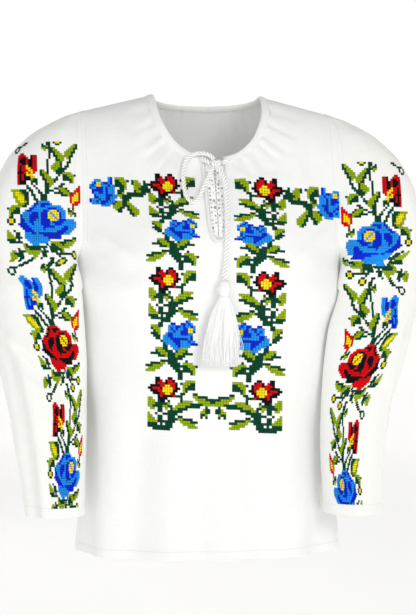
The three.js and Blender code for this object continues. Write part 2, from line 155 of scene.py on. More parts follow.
def tube(rings, s):  # (points, faces, uv) of a run of closed rings with its ends shut
    count, n = rings.shape[:2]
    points = np.vstack([rings.reshape(-1, 3), rings[0].mean(0), rings[-1].mean(0)])
    cells = gridCells(count, n, wrap=True).reshape(-1, 4)[:, ::-1]
    first, last = count * n, count * n + 1
    ends = [(first, (i + 1) % n, i) for i in range(n)]
    ends += [(last, first - n + i, first - n + (i + 1) % n) for i in range(n)]
    uv = np.stack([np.repeat(s, n), np.tile(np.arange(n) * 10 / n, count)], -1)
    return points, [*cells.tolist(), *ends], np.vstack([uv, [[0, 0], [s[-1], 0]]])


def sweep(line, section, twist=0.0):  # a closed section carried along a line
    along = unit(np.gradient(line, axis=0))
    aside = unit(np.cross(along[0], [0.3, -1, 0.2]))
    s = arcLength(line)
    rings = []
    for p, t, turn in zip(line, along, s * twist):
        aside = unit(aside - t * np.dot(aside, t))
        up = np.cross(t, aside)
        c, w = math.cos(turn), math.sin(turn)
        x, y = section[:, :1] * c - section[:, 1:] * w, section[:, :1] * w + section[:, 1:] * c
        rings.append(p + aside * x + up * y)
    return tube(np.array(rings), s)


def joined(parts):  # (points, faces, uv) of several pieces as one
    points, faces, uvs, start = [], [], [], 0
    for p, f, uv in parts:
        points.append(p)
        uvs.append(uv)
        faces += [[i + start for i in face] for face in f]
        start += len(p)
    return np.vstack(points), faces, np.vstack(uvs)


# Camera, light and ground

studio = {
    "azimuth": -7.5,  # degrees, the camera stands a little to the wearer's right
    "distance": 2300,
    "aimAside": 3.5,
    "aimHeight": -311.5,
    "frameTall": 861,  # what the frame's height takes in at the cloth's front
    "frontDepth": 100,
    "floorHeight": -1000,
    "floorRadius": 7000,
}


def placeCamera():
    turn = math.radians(studio["azimuth"])
    right = Vector((math.cos(turn), math.sin(turn), 0))
    back = Vector((math.sin(turn), -math.cos(turn), 0))
    data = bpy.data.cameras.new("camera")
    data.sensor_width = 36
    data.lens = 36 * (studio["distance"] - studio["frontDepth"]) / studio["frameTall"]
    data.clip_start, data.clip_end = 0.05, 40
    camera = bpy.data.objects.new("camera", data)
    aim = right * studio["aimAside"] + Vector((0, 0, studio["aimHeight"]))
    camera.location = (aim + back * studio["distance"]) * mm
    camera.rotation_euler = (math.radians(90), 0, turn)
    bpy.context.scene.collection.objects.link(camera)
    bpy.context.scene.camera = camera


lights = [  # name, place in metres, size, watts, colour
    ("keyLight", (0.9, -2.4, 0.4), 0.9, 16, (1.0, 0.99, 0.965)),
    ("fillLight", (-1.2, -2.2, -0.5), 1.6, 8, (0.93, 0.97, 1.0)),
    ("topLight", (0.0, 0.3, 2.2), 1.8, 4, (1.0, 1.0, 1.0)),
    ("backLight", (-1.2, 2.4, 0.9), 1.0, 9, (1.0, 0.99, 0.98)),
]


def addNode(tree, kind, links=None, **settings):
    node = tree.nodes.new(kind)
    for key, value in settings.items():
        setattr(node, key, value)
    for key, value in (links or {}).items():
        if isinstance(value, bpy.types.NodeSocket):
            tree.links.new(value, node.inputs[key])
        else:
            node.inputs[key].default_value = value
    return node


def lightStudio():
    scene = bpy.context.scene
    scene.view_settings.view_transform = "Standard"
    scene.world = bpy.data.worlds.new("studio")
    scene.world.use_nodes = True
    background = scene.world.node_tree.nodes["Background"]
    background.inputs["Color"].default_value = (0.97, 0.985, 1.0, 1)
    background.inputs["Strength"].default_value = 0.30
    for name, place, size, watts, colour in lights:
        data = bpy.data.lights.new(name, "AREA")
        data.shape = "DISK"
        data.size, data.energy, data.color = size, watts, colour
        lamp = bpy.data.objects.new(name, data)
        lamp.location = place
        lamp.rotation_euler = (Vector((0, 0, -0.3)) - Vector(place)).to_track_quat("-Z", "Y").to_euler()
        scene.collection.objects.link(lamp)


def layFloor():  # a wide pale floor that curves up far behind everything
    turns = np.linspace(0, 2 * math.pi, 96, endpoint=False)
    rise = [(0.02, 0), (0.3, 0), (0.6, 0), (0.8, 20), (0.92, 180), (0.98, 520), (1.0, 1100), (1.0, 3600)]
    radius = studio["floorRadius"]
    points = [(r * radius * math.cos(a), r * radius * math.sin(a), studio["floorHeight"] + z)
              for r, z in rise for a in turns]
    cells = gridCells(len(rise), len(turns), wrap=True).reshape(-1, 4)
    material = bpy.data.materials.new("paleFloor")
    material.use_nodes = True
    shader = material.node_tree.nodes["Principled BSDF"]
    shader.inputs["Base Color"].default_value = (0.93, 0.925, 0.91, 1)
    shader.inputs["Roughness"].default_value = 0.9
    shader.inputs["Emission Color"].default_value = (1, 0.99, 0.975, 1)
    shader.inputs["Emission Strength"].default_value = 0.40
    floor = makeMesh("floor", points, [*cells.tolist(), list(range(len(turns)))], materials=[material])


placeCamera()
lightStudio()
layFloor()
print("studio ready")


# Finishes

def finish(name, slotColour, roughness, sheen):
    material = bpy.data.materials.new(name)
    material.use_nodes = True
    tree = material.node_tree
    shader = tree.nodes["Principled BSDF"]
    shader.inputs["Base Color"].default_value = (*slotColour, 1)
    shader.inputs["Roughness"].default_value = roughness
    shader.inputs["Sheen Weight"].default_value = sheen
    shader.inputs["Sheen Roughness"].default_value = 0.5
    return material, tree, shader


def math2(tree, operation, a, b=0.0):
    return addNode(tree, "ShaderNodeMath", {0: a, 1: b}, operation=operation).outputs[0]


linen = {
    "colour": (0.87, 0.875, 0.865),
    "threadPitch": 0.00065,  # metres, one thread to the next
    "weaveDepth": 0.00012,
    "through": 0.05,
    "slub": 0.035,  # how much thick and thin threads vary the tone
}


def linenFinish(name, tint=(1, 1, 1)):
    colour = [c * t for c, t in zip(linen["colour"], tint)]
    material, tree, shader = finish(name, colour, 0.86, 0.12)
    shader.inputs["Emission Color"].default_value = (*colour, 1)  # a painted glow in the cloth's own colour, standing in for light that comes through the thin cloth and lifting its shade
    shader.inputs["Emission Strength"].default_value = linen["through"]
    uv = addNode(tree, "ShaderNodeUVMap", uv_map="cloth").outputs[0]
    axes = addNode(tree, "ShaderNodeSeparateXYZ", {0: uv}).outputs
    wave = math.pi / linen["threadPitch"]
    across = math2(tree, "COSINE", math2(tree, "MULTIPLY", axes[0], wave))
    down = math2(tree, "COSINE", math2(tree, "MULTIPLY", axes[1], wave))
    weave = math2(tree, "ABSOLUTE", math2(tree, "MULTIPLY", across, down))
    slubs = []
    for stretch in ((1400, 45, 1), (45, 1400, 1)):  # fine across the threads, long along them
        place = addNode(tree, "ShaderNodeVectorMath", {0: uv, 1: stretch}, operation="MULTIPLY").outputs[0]
        noise = addNode(tree, "ShaderNodeTexNoise", {"Vector": place, "Scale": 1.0, "Detail": 3.0})
        slubs.append(noise.outputs[0])
    both = math2(tree, "ADD", *slubs)
    tone = addNode(tree, "ShaderNodeMapRange",
                   {0: both, 1: 0.7, 2: 1.3, 3: 1 - linen["slub"], 4: 1 + linen["slub"]})
    shade = addNode(tree, "ShaderNodeVectorMath", {0: colour, "Scale": tone.outputs[0]}, operation="SCALE")
    tree.links.new(shade.outputs[0], shader.inputs["Base Color"])
    height = math2(tree, "ADD", weave, math2(tree, "MULTIPLY", both, 0.8))
    bump = addNode(tree, "ShaderNodeBump",
                   {"Height": height, "Strength": 0.5, "Distance": linen["weaveDepth"]})
    tree.links.new(bump.outputs[0], shader.inputs["Normal"])
    return material


def yarnFinish(name, colour, roughness=0.6, sheen=0.25, fibres=2600, depth=0.00012, vary=0.10, gloss=0.4,
               shaded=True, through=0.0):
    material, tree, shader = finish(name, colour, roughness, sheen)
    shader.inputs["Specular IOR Level"].default_value = gloss
    # a painted glow: the yarn lights itself in its own colour, lifting its shade
    shader.inputs["Emission Color"].default_value = (*colour, 1)
    shader.inputs["Emission Strength"].default_value = through
    place = addNode(tree, "ShaderNodeTexCoord").outputs["Object"]
    fine = addNode(tree, "ShaderNodeTexNoise", {"Vector": place, "Scale": fibres, "Detail": 2.0}).outputs[0]
    broad = addNode(tree, "ShaderNodeTexNoise", {"Vector": place, "Scale": 160.0, "Detail": 2.0}).outputs[0]
    both = math2(tree, "ADD", math2(tree, "MULTIPLY", fine, 0.4), math2(tree, "MULTIPLY", broad, 0.6))
    tone = addNode(tree, "ShaderNodeMapRange", {0: both, 1: 0.3, 2: 0.7, 3: 1 - vary, 4: 1 + vary}).outputs[0]
    # the mesh's painted shade and highlight scale the yarn's colour
    if shaded:
        made = addNode(tree, "ShaderNodeAttribute", attribute_name="shade").outputs["Fac"]
        tone = math2(tree, "MULTIPLY", tone, made)
    shade = addNode(tree, "ShaderNodeVectorMath", {0: colour, "Scale": tone}, operation="SCALE")
    tree.links.new(shade.outputs[0], shader.inputs["Base Color"])
    bump = addNode(tree, "ShaderNodeBump", {"Height": fine, "Strength": 0.4, "Distance": depth})
    tree.links.new(bump.outputs[0], shader.inputs["Normal"])
    return material


frontLinen = linenFinish("linenFront")
# painted shade: the sleeves' linen a little darker and warmer than the body's, for the beige shade along their
# sides
sleeveLinenPaintedShade = linenFinish("linenSleeves", (1.0, 0.995, 0.975))
laceYarn = yarnFinish("laceYarn", (0.93, 0.94, 0.94), 0.8, 0.2, vary=0.03, shaded=False, through=0.06)
cordYarn = yarnFinish("cordYarn", (0.92, 0.925, 0.92), 0.7, 0.3, vary=0.03, through=0.08)
tasselYarn = yarnFinish("tasselYarn", (0.95, 0.955, 0.95), 0.7, 0.5, vary=0.03, shaded=False, through=0.05)
sewingThread = yarnFinish("sewingThread", (0.84, 0.84, 0.82), 0.6, 0.2, vary=0.03)

threadColours = {  # letter in the charts: linear colour
    "g": (0.001, 0.068, 0.030),
    "l": (0.33, 0.47, 0.003),
    "b": (0.015, 0.33, 0.96),
    "d": (0.002, 0.024, 0.70),
    "r": (0.75, 0.001, 0.004),
    "y": (1.0, 0.83, 0.008),
    "k": (0.003, 0.004, 0.008),
}
threadNames = {"g": "darkGreen", "l": "lime", "b": "blue", "d": "deepBlue", "r": "red", "y": "yellow",
               "k": "black"}
threadLetters = "." + "".join(threadColours)
threads = [yarnFinish("thread" + threadNames[c].capitalize(), threadColours[c], 0.55, 0.0,
                      vary=0.12, gloss=0.08)
           for c in threadColours]
print("finishes ready")


# The body's form, the same as the fixed model's

armholeX, neckX, neckTopZ, shoulderTipZ = 184, 88, -4, -28
neckDrop = {-1: 105, 1: 14}
scoopTopZ, underarmZ, hemZ = -215, -285, -660
slitEndZ, slitTopHalf, slitEndHalf = -216, 14, 6

bodyDepths = tableOf("drop frontMid frontEdge backMid backEdge", [
    (0, 0, 0, 0, 0), (3, 14, 12, 18, 12), (8, 26, 20, 32, 20), (18, 41, 30, 48, 29), (34, 56, 41, 64, 40),
    (60, 71, 53, 82, 51), (95, 85, 62, 97, 58), (130, 100, 68, 106, 62), (170, 119, 73, 110, 63),
    (205, 135, 76, 109, 62), (235, 142, 77, 106, 60), (265, 142, 76, 103, 58), (310, 136, 74, 99, 56),
    (390, 129, 72, 95, 56), (500, 127, 72, 99, 56), (600, 130, 72, 108, 56), (680, 134, 72, 115, 56),
])
bodyWidths = tableOf("z half", [
    (-205, 198), (-285, 197), (-340, 190), (-400, 184), (-500, 181), (-580, 184), (-660, 190),
])
roundness = 2.4  # exponent of the chest and of the body's section


def ridgeZ(x):
    outer = np.abs(x)
    inside = neckTopZ + 10 * (1 - (outer / neckX) ** 2)
    return np.where(outer < neckX, inside, mix(neckTopZ, shoulderTipZ, (outer - neckX) / (armholeX - neckX)))


def bodyPoint(facing, x, z):  # facing is -1 for the front and 1 for the back
    x, z = np.broadcast_arrays(np.asarray(x, float), np.asarray(z, float))
    side = "front" if facing < 0 else "back"
    drop = np.maximum(0, ridgeZ(x) - z)
    mid, edge = readTable(bodyDepths, side + "Mid", drop), readTable(bodyDepths, side + "Edge", drop)
    straightY = mix(mid, edge, np.abs(x / armholeX) ** roundness)
    q = x / armholeX
    half = readTable(bodyWidths, "half", z)
    even = armholeX / half
    turn = even * q + (2.5 - 2 * even) * q**3 + (even - 1.5) * q**5
    roundY = mid * np.maximum(0, 1 - np.abs(turn) ** roundness) ** (1 / roundness)
    k = smooth(scoopTopZ, underarmZ, z)
    return np.stack([mix(x, half * turn, k), facing * mix(straightY, roundY, k), z], -1)


def bodyNormal(facing, x, z):
    step = 0.5
    down = bodyPoint(facing, x, z - step) - bodyPoint(facing, x, z + step)
    left, right = np.clip(x - step, -armholeX, armholeX), np.clip(x + step, -armholeX, armholeX)
    return unit(np.cross(down, bodyPoint(facing, right, z) - bodyPoint(facing, left, z))) * -facing


def necklineZ(facing, x):
    return neckTopZ - neckDrop[facing] * np.sqrt(np.maximum(0, 1 - (np.abs(x) / neckX) ** 2.2))


def topEdgeZ(facing, x):
    return np.where(np.abs(x) < neckX, necklineZ(facing, x), ridgeZ(x))


def slitHalf(z):
    top = necklineZ(-1, 0)
    k = (top - z) / (top - slitEndZ)
    open_ = mix(slitTopHalf, slitEndHalf + 3, k) - 3 * smooth(0.85, 1, k)
    return np.where(k >= 1, mix(slitEndHalf, slitTopHalf, smooth(1, 1.8, k)), open_)


# The tie cord: a twisted rope from both ends of the casing to a knot, one loop of the bow, and one hanging end

def beforeFront(x, z, off):
    return bodyPoint(-1, x, z) - [0, off, 0]


def routed(rows, step):  # rows of x, z and the distance before the front panel
    return evenLine(smoothLine([beforeFront(*row) for row in rows], 14), step)


def roundSection(radius, sides):
    a = np.arange(sides) * 2 * math.pi / sides
    return np.stack([np.cos(a), np.sin(a)], -1) * radius


def ropeSection(radius, strands=3, sides=24, groove=0.62):
    a = np.arange(sides) * 2 * math.pi / sides
    off = (a + math.pi / strands) % (2 * math.pi / strands) - math.pi / strands
    reach = 0.536 * np.cos(off) + np.sqrt(np.maximum(0, 0.464**2 - (0.536 * np.sin(off)) ** 2))
    return np.stack([np.cos(a), np.sin(a)], -1) * (np.maximum(reach, groove) * radius)[:, None]


tieCord = {
    "radius": 3.2,
    "pitch": 15.5,  # along the cord, for one turn of its strands
    "step": 0.7,
    "knotRadius": 2.7,
    "knotSize": (1.8, 2.2, 1.7),  # across, deep, tall
}
leadRows = [(19, -102.4, 3.7), (18.4, -103, 6.4), (15.8, -105.2, 9.6), (9.5, -110, 12.3)]
loopRows = [
    (-1.8, -104.2, 14.8), (-8, -98.6, 15.5), (-19, -95.6, 12.5), (-32, -98, 9), (-40, -105.6, 7),
    (-43, -116, 6), (-45, -132, 5.5), (-44, -148, 5.5), (-40.5, -160, 5.5), (-34.5, -165.5, 5.5),
    (-27, -161.5, 6), (-20, -149, 9), (-13.5, -135, 11), (-7, -122.6, 13.5), (-3.9, -118, 13.6),
]
tailRows = [
    (4.2, -117.8, 13.2), (8.2, -123.4, 13.4), (11.8, -134, 13), (12.6, -152, 11.5), (12.2, -175, 10),
    (11.4, -200, 8), (10.4, -225, 6.8), (9.0, -245, 6.8), (7.2, -262, 8.8), (6.4, -273, 10.2),
    (6.2, -282, 10.2), (6.2, -294, 10.2),  # held inside the tassel's head
]
knotAt = beforeFront(1, -112, 12.5)


def makeRope(name, line, radius, pitch, strands=3, groove=0.56):
    section = ropeSection(radius, strands, 24, groove)
    points, faces, uv = sweep(line, section, twist=2 * math.pi / pitch)
    reach = np.linalg.norm(section, axis=1) / radius
    # painted shade: the rope darker in the grooves between its strands and on its shut ends
    shade = np.append(np.tile(mix(0.6, 1.0, smooth(groove, 0.93, reach)), len(line)), [0.7, 0.7])
    return makeMesh(name, points, faces, uv, materials=[cordYarn], sharpAt=0, shade=shade)


def makeKnot():  # one pass of the rope over and under itself, its ends hidden at the back
    t = np.linspace(0.5, 0.5 + 2 * math.pi, 200)
    across, deep, tall = tieCord["knotSize"]
    line = np.stack([across * (np.sin(t) + 2 * np.sin(2 * t)), deep * np.sin(3 * t),
                     tall * (np.cos(t) - 2 * np.cos(2 * t) + 0.4)], -1)
    return makeRope("tie_knot_rope", knotAt + evenLine(line, tieCord["step"]), tieCord["knotRadius"], 13)


leadLine = routed(leadRows, tieCord["step"])
otherLeadLine = leadLine * [-1, 1, 1] + [2, 0, 0]
loopLine, tailLine = routed(loopRows, tieCord["step"]), routed(tailRows, tieCord["step"])
ropes = {
    "cord_lead_left": makeRope("lead_left_rope", leadLine, tieCord["radius"], tieCord["pitch"]),
    "cord_lead_right": makeRope("lead_right_rope", otherLeadLine, tieCord["radius"], tieCord["pitch"]),
    "cord_loop": makeRope("loop_rope", loopLine, tieCord["radius"], tieCord["pitch"]),
    "cord_tail": makeRope("tail_rope", tailLine, tieCord["radius"], tieCord["pitch"]),
    "tie_knot": makeKnot(),
}
print("cords done")


# The tassel at the end of the hanging cord

tassel = {
    "headRadius": 8.8,
    "headTall": 22,
    "ribs": 34,
    "ribDepth": 0.22,
    "neckTurns": 5,
    "skirtLong": 97.5,
    "threads": 1150,
    "threadRadius": 0.42,
    "segments": 14,
    "neckHalf": 6.0,
    "endHalf": (26.0, 12.5),  # across and deep
    "lean": -6.0,
    "back": 6.0,
}
tasselTop = beforeFront(6.2, -274, 10.2)
skirtTop = tasselTop - [0, 0, 22.4]
headProfile = tableOf("z radius", [(-22, 0.62), (-17.6, 0.74), (-9.9, 1.0), (-3.3, 0.86), (0, 0.45)])
skirtSpread = tableOf("share spread", [(0, 0), (0.12, 0.30), (0.35, 0.66), (0.7, 0.90), (1, 1)])


def tasselHead():
    size = tassel
    rng = np.random.default_rng(12)
    levels = np.linspace(0, -size["headTall"], 30)
    turn = np.arange(size["ribs"] * 4) * 2 * math.pi / (size["ribs"] * 4)
    depth = np.repeat(rng.uniform(0.5, 1.4, size["ribs"]), 4)
    radius = readTable(headProfile, "radius", levels)[:, None] * size["headRadius"]
    sway = turn + 0.006 * (levels[:, None] + 11)  # the yarns lie a little slanting
    radius = radius + size["ribDepth"] * depth * np.cos(size["ribs"] * turn)
    rings = np.stack([radius * np.cos(sway), -radius * np.sin(sway), levels[:, None] + 0 * radius], -1)
    t = np.linspace(0, 2 * math.pi * size["neckTurns"], 40 * size["neckTurns"])
    z = -16.6 - 4.9 * t / t[-1]
    r = readTable(headProfile, "radius", z) * size["headRadius"] + 0.35
    wraps = sweep(np.stack([r * np.cos(t), r * np.sin(t), z], -1), roundSection(0.62, 8))
    points, faces, uv = joined([tube(rings, -levels), wraps])
    # painted shade: the head darker in the hollows between its ribs, and its neck wraps at 0.95 all over
    ribShade = np.tile(mix(0.80, 1.0, 0.5 + 0.5 * np.cos(size["ribs"] * turn)), len(levels))
    shade = np.concatenate([ribShade, np.full(len(points) - len(ribShade), 0.95)])
    return makeMesh("tassel_head_yarn", tasselTop + points, faces, uv, materials=[cordYarn], sharpAt=0,
                    shade=shade)


def skirtPlace(turn, inward, down):  # turn round, share of the way out from the middle, share of the way down
    spread = readTable(skirtSpread, "spread", down)
    across, deep = (mix(tassel["neckHalf"], end, spread) for end in tassel["endHalf"])
    x = np.cos(turn) * across * inward + tassel["lean"] * down
    y = np.sin(turn) * deep * inward + tassel["back"] * down
    return np.stack([x, y, 0 * x - tassel["skirtLong"] * down], -1)


def tasselSkirt():
    size = tassel
    rng = np.random.default_rng(5)
    count, rows = size["threads"], size["segments"] + 1
    turn = np.sort(rng.uniform(0, 2 * math.pi, count))[:, None]
    inward = np.sqrt(rng.uniform(0.45, 1.0, count))[:, None]
    reach = (0.958 + rng.normal(0, 0.018, count))[:, None]
    down = np.linspace(0, 1, rows)[None, :]
    lock = 0.10 * softNoise(turn * 30, 20 * down, 9, 2) + 0.05 * softNoise(turn * 30, 20 * down, 3, 5)
    inward = inward * (1 + lock * down)
    drift = 0.09 * softNoise(turn * 22, 12 * down + 7, 8, 3) + 0.05 * rng.normal(0, 1, (count, 1)) * down
    line = skirtPlace(turn + drift * down, inward, down) * np.stack([1 + 0 * reach, 1 + 0 * reach, reach], -1)
    sway = rng.uniform(0, 6.28, (count, 1)) + down * rng.uniform(3, 9, (count, 1))
    line = line + np.stack([np.cos(sway), np.sin(sway), 0 * sway], -1) * (0.7 * down)[..., None]
    for i, way in enumerate([0.04, 0.0, -0.06, 0.12]):  # a few strays at the side of the blue flower
        k = np.argsort(np.abs(turn[:, 0] - 0.3 - way))[i]
        line[k, :, 0] += (5 + 2.4 * i) * smooth(0.25, 0.8, down[0]) * (1 - 0.5 * smooth(0.8, 1, down[0]))
        line[k, :, 1] -= 3 * down[0]
    along = unit(np.gradient(line, axis=1))
    aside = unit(np.cross(along, [0.2, 1, 0.1]))
    up = np.cross(along, aside)
    a = np.arange(4) * math.pi / 2 + rng.uniform(0, 1.5, (count, 1, 1))
    radius = size["threadRadius"] * (1 - 0.6 * smooth(0.97, 1, down))[..., None]
    rings = (line[:, :, None] + aside[:, :, None] * (radius * np.cos(a))[..., None]
             + up[:, :, None] * (radius * np.sin(a))[..., None])
    cells = gridCells(rows, 4, wrap=True).reshape(-1, 4)[:, ::-1]
    cells = (np.arange(count) * rows * 4)[:, None, None] + cells
    uv = np.stack([np.repeat(np.arange(count * rows), 4), np.tile([0, 1, 2, 3], count * rows)], -1)
    threadsPart = (rings.reshape(-1, 3), cells.reshape(-1, 4).tolist(), uv * 0.5)
    levels = np.linspace(0, 0.95, 16)
    round_ = np.arange(40) * 2 * math.pi / 40
    core = skirtPlace(-round_[None, :], 0.78 + 0 * round_, levels[:, None])
    return joined([threadsPart, tube(core, levels * size["skirtLong"])])


tasselHeadYarn = tasselHead()
skirtPoints, skirtFaces, skirtUv = tasselSkirt()
tasselSkirtYarn = makeMesh("tassel_skirt_yarn", skirtTop + skirtPoints, skirtFaces, skirtUv,
                           materials=[tasselYarn], sharpAt=0)
print("tassel done")


# Folds: each is a soft ridge, or a trough where its height is negative, along a line of (across, z)

def foldHeight(folds, across, z):
    total = np.zeros(np.shape(across))
    for height, width, lean, startShare, endShare, line in folds:
        path = smoothLine([(x, 0, y) for x, y in line], 6)[:, ::2]
        reach = 3 * width * max(lean, 1 / lean)
        near = ((across > path[:, 0].min() - reach) & (across < path[:, 0].max() + reach)
                & (z > path[:, 1].min() - reach) & (z < path[:, 1].max() + reach))
        if not near.any():
            continue
        p = np.stack([across[near], z[near]], -1)
        best = np.full(len(p), 1e9)
        along, side = np.zeros(len(p)), np.zeros(len(p))
        for i, (a, b) in enumerate(zip(path[:-1], path[1:])):
            d = b - a
            t = np.clip((p - a) @ d / (d @ d), 0, 1)
            off = p - a - t[:, None] * d
            far = (off**2).sum(-1)
            nearer = far < best
            best = np.where(nearer, far, best)
            along = np.where(nearer, (i + t) / (len(path) - 1), along)
            side = np.where(nearer, np.sign(off[:, 0] * d[1] - off[:, 1] * d[0]), side)
        spread = width * np.where(side > 0, lean, 1 / lean)
        share = mix(startShare, 1, smooth(0, 0.4, along)) * mix(endShare, 1, smooth(1, 0.6, along))
        total[near] += height * share * np.exp(-best / spread**2)
    return total


def neckGathers(facing, count, seed):  # small pleats that the drawn neckline leaves in the cloth
    rng = np.random.default_rng(seed)
    folds = []
    for i in range(count):
        k = (i + rng.uniform(0.15, 0.85)) / count
        turn = mix(0.17, math.pi / 2 - 0.02, k)
        length, height, width = rng.uniform(24, 68), rng.uniform(0.7, 1.7), rng.uniform(2.6, 4.4)
        for side in (-1, 1):
            x = neckX * math.sin(turn) ** 0.91
            z = float(necklineZ(facing, x))
            slope = 1.1 * k
            if facing < 0:
                slope = math.atan2(neckDrop[facing] * math.sin(turn), neckX * math.cos(turn))
            stretch = length * rng.uniform(0.7, 1.3)
            dx, dz = math.sin(slope) * stretch, -math.cos(slope) * stretch
            bendX = rng.uniform(-3, 3)
            line = [(side * x, z + 2), (side * (x + dx * 0.5 + bendX), z + dz * 0.5),
                    (side * (x + dx), z + dz)]
            folds.append((height if i % 2 else -height, width, 1.0, 1.0, 0.0, line))
    return folds


frontFolds = [  # height, width, lean, share at its start and its end, line from start to end
    # from the shoulders and the slit
    (1.8, 8, 1.3, 0.6, 0.0, [(24, -118), (52, -132), (88, -128), (118, -120)]),
    (-1.5, 7, 1.0, 0.5, 0.0, [(22, -128), (48, -146), (80, -146), (108, -138)]),
    (-1.6, 7, 1.2, 0.5, 0.0, [(-24, -122), (-50, -140), (-84, -144), (-116, -136)]),
    (1.2, 7, 1.0, 0.4, 0.0, [(-24, -136), (-46, -158), (-70, -172)]),
    (-2.0, 13, 1.2, 0.2, 0.0, [(-150, -58), (-138, -104), (-132, -150)]),
    (1.8, 14, 1.0, 0.0, 0.0, [(-122, -50), (-112, -90), (-108, -130)]),
    (-2.2, 12, 1.0, 0.2, 0.0, [(146, -60), (140, -100), (144, -142)]),
    (1.6, 14, 1.0, 0.0, 0.0, [(118, -56), (112, -96), (116, -126)]),
    # drag lines between the armholes and the bust
    (3.6, 12, 1.5, 0.3, 0.0, [(-178, -204), (-152, -218), (-120, -238), (-92, -252)]),
    (-3.2, 13, 0.8, 0.4, 0.0, [(-176, -226), (-146, -244), (-112, -268), (-84, -282)]),
    (2.2, 13, 1.0, 0.3, 0.0, [(-172, -256), (-148, -282), (-126, -320)]),
    (-2.6, 15, 1.0, 0.0, 0.0, [(-178, -292), (-158, -322), (-142, -372)]),
    (3.4, 13, 0.7, 0.3, 0.0, [(178, -196), (150, -212), (124, -236), (104, -262)]),
    (-3.0, 13, 1.2, 0.4, 0.0, [(176, -222), (152, -240), (128, -270), (112, -300)]),
    (2.4, 14, 1.0, 0.2, 0.0, [(174, -258), (156, -290), (142, -334)]),
    (-2.8, 14, 1.0, 0.0, 0.0, [(178, -300), (164, -340), (152, -396)]),
    # puckers under the slit
    (-1.3, 4.5, 1.0, 0.8, 0.0, [(-7, -219), (-14, -236), (-16, -258)]),
    (1.2, 5.0, 1.0, 0.8, 0.0, [(0, -222), (-1, -238), (-4, -262)]),
    (-1.4, 4.5, 1.0, 0.8, 0.0, [(7, -219), (12, -234), (14, -254)]),
    (0.9, 6.0, 1.0, 0.2, 0.2, [(-20, -226), (-2, -230), (18, -226)]),
    # long soft drapes down to the hem
    (-8.0, 17, 1.2, 0.0, 1.2, [(-160, -392), (-164, -500), (-158, -662)]),
    (5.0, 17, 1.0, 0.0, 1.2, [(-128, -360), (-130, -520), (-136, -662)]),
    (-6.5, 18, 0.9, 0.0, 1.3, [(-96, -420), (-98, -540), (-104, -662)]),
    (4.0, 19, 1.0, 0.0, 1.2, [(-58, -450), (-62, -560), (-66, -662)]),
    (-5.5, 16, 1.1, 0.0, 1.3, [(-24, -500), (-28, -590), (-22, -662)]),
    (4.6, 20, 1.0, 0.0, 1.2, [(12, -470), (16, -580), (14, -662)]),
    (-6.0, 17, 1.0, 0.0, 1.3, [(56, -440), (54, -560), (60, -662)]),
    (5.0, 18, 1.1, 0.0, 1.1, [(92, -400), (96, -540), (100, -662)]),
    (-8.0, 17, 0.9, 0.0, 1.2, [(132, -380), (136, -520), (130, -662)]),
    (5.0, 15, 1.0, 0.0, 1.2, [(164, -420), (166, -540), (162, -662)]),
]
backFolds = [
    (2.2, 16, 1.0, 0.0, 0.0, [(-120, -60), (-70, -74), (-20, -84)]),
    (-2.4, 15, 1.0, 0.0, 0.0, [(-140, -92), (-86, -112), (-30, -118)]),
    (2.0, 16, 1.0, 0.0, 0.0, [(130, -64), (84, -84), (36, -90)]),
    (-2.6, 15, 1.0, 0.0, 0.0, [(150, -100), (96, -128), (44, -136)]),
    (3.2, 12, 1.3, 0.3, 0.0, [(-178, -188), (-146, -206), (-110, -240)]),
    (-3.4, 13, 1.0, 0.3, 0.0, [(-176, -214), (-140, -240), (-112, -290)]),
    (3.0, 12, 0.8, 0.3, 0.0, [(178, -180), (150, -202), (118, -228)]),
    (-3.2, 13, 1.0, 0.3, 0.0, [(176, -208), (146, -236), (120, -280)]),
    (-3.6, 20, 1.0, 0.0, 0.0, [(-150, -372), (-70, -392), (10, -384), (90, -398), (150, -380)]),
    (2.6, 18, 1.0, 0.0, 0.0, [(-130, -410), (-50, -426), (40, -420), (130, -428)]),
    (-9.0, 19, 1.1, 0.0, 1.2, [(-152, -330), (-156, -500), (-148, -662)]),
    (6.0, 18, 1.0, 0.0, 1.2, [(-116, -300), (-118, -480), (-122, -662)]),
    (-9.0, 19, 0.9, 0.0, 1.2, [(-78, -270), (-82, -460), (-88, -662)]),
    (6.5, 21, 1.0, 0.0, 1.2, [(-36, -300), (-40, -480), (-44, -662)]),
    (-8.0, 18, 1.2, 0.0, 1.2, [(2, -250), (0, -440), (-4, -662)]),
    (6.0, 20, 1.0, 0.0, 1.2, [(40, -310), (42, -500), (38, -662)]),
    (-9.5, 19, 1.0, 0.0, 1.2, [(82, -280), (84, -460), (80, -662)]),
    (6.0, 18, 1.0, 0.0, 1.2, [(120, -320), (124, -500), (120, -662)]),
    (-8.0, 18, 1.0, 0.0, 1.2, [(158, -350), (156, -520), (160, -662)]),
]
panelSizes = {
    "neckColumns": 46,
    "outerColumns": 38,
    "upperRows": 50,
    "rowStep": 3.9,
    "thickness": 0.9,
    "hemTall": 13,
    "seamRidge": 0.8,
}
panelFolds = {-1: frontFolds + neckGathers(-1, 15, 4), 1: backFolds + neckGathers(1, 13, 9)}


def panelSurface(facing, x, z):  # the finished cloth's outer face, and its outward direction before folding
    normal = bodyNormal(facing, x, z)
    base = bodyPoint(facing, x, z)
    fromSeam = armholeX - np.abs(x)
    overTop = np.abs(base[..., 1]) + 2 * np.maximum(0, scoopTopZ + 100 - z)
    fromShoulder = np.where(np.abs(x) > neckX - 1, overTop, 99)
    free = smooth(0, 16, fromSeam) * smooth(0, 16, fromShoulder)
    height = foldHeight(panelFolds[facing], x, z)
    height = height + 0.9 * softNoise(x, z * 0.7, 62, 3 + facing) + 0.3 * softNoise(x, z, 19, 7 + facing)
    ridge = bell(fromSeam - 4, 2.4) + bell(fromShoulder - 4, 2.4)
    hem = 0.6 * smooth(hemZ + panelSizes["hemTall"] + 1.2, hemZ + panelSizes["hemTall"] - 1.2, z)
    return base + normal * (height * free + panelSizes["seamRidge"] * ridge + hem)[..., None], normal


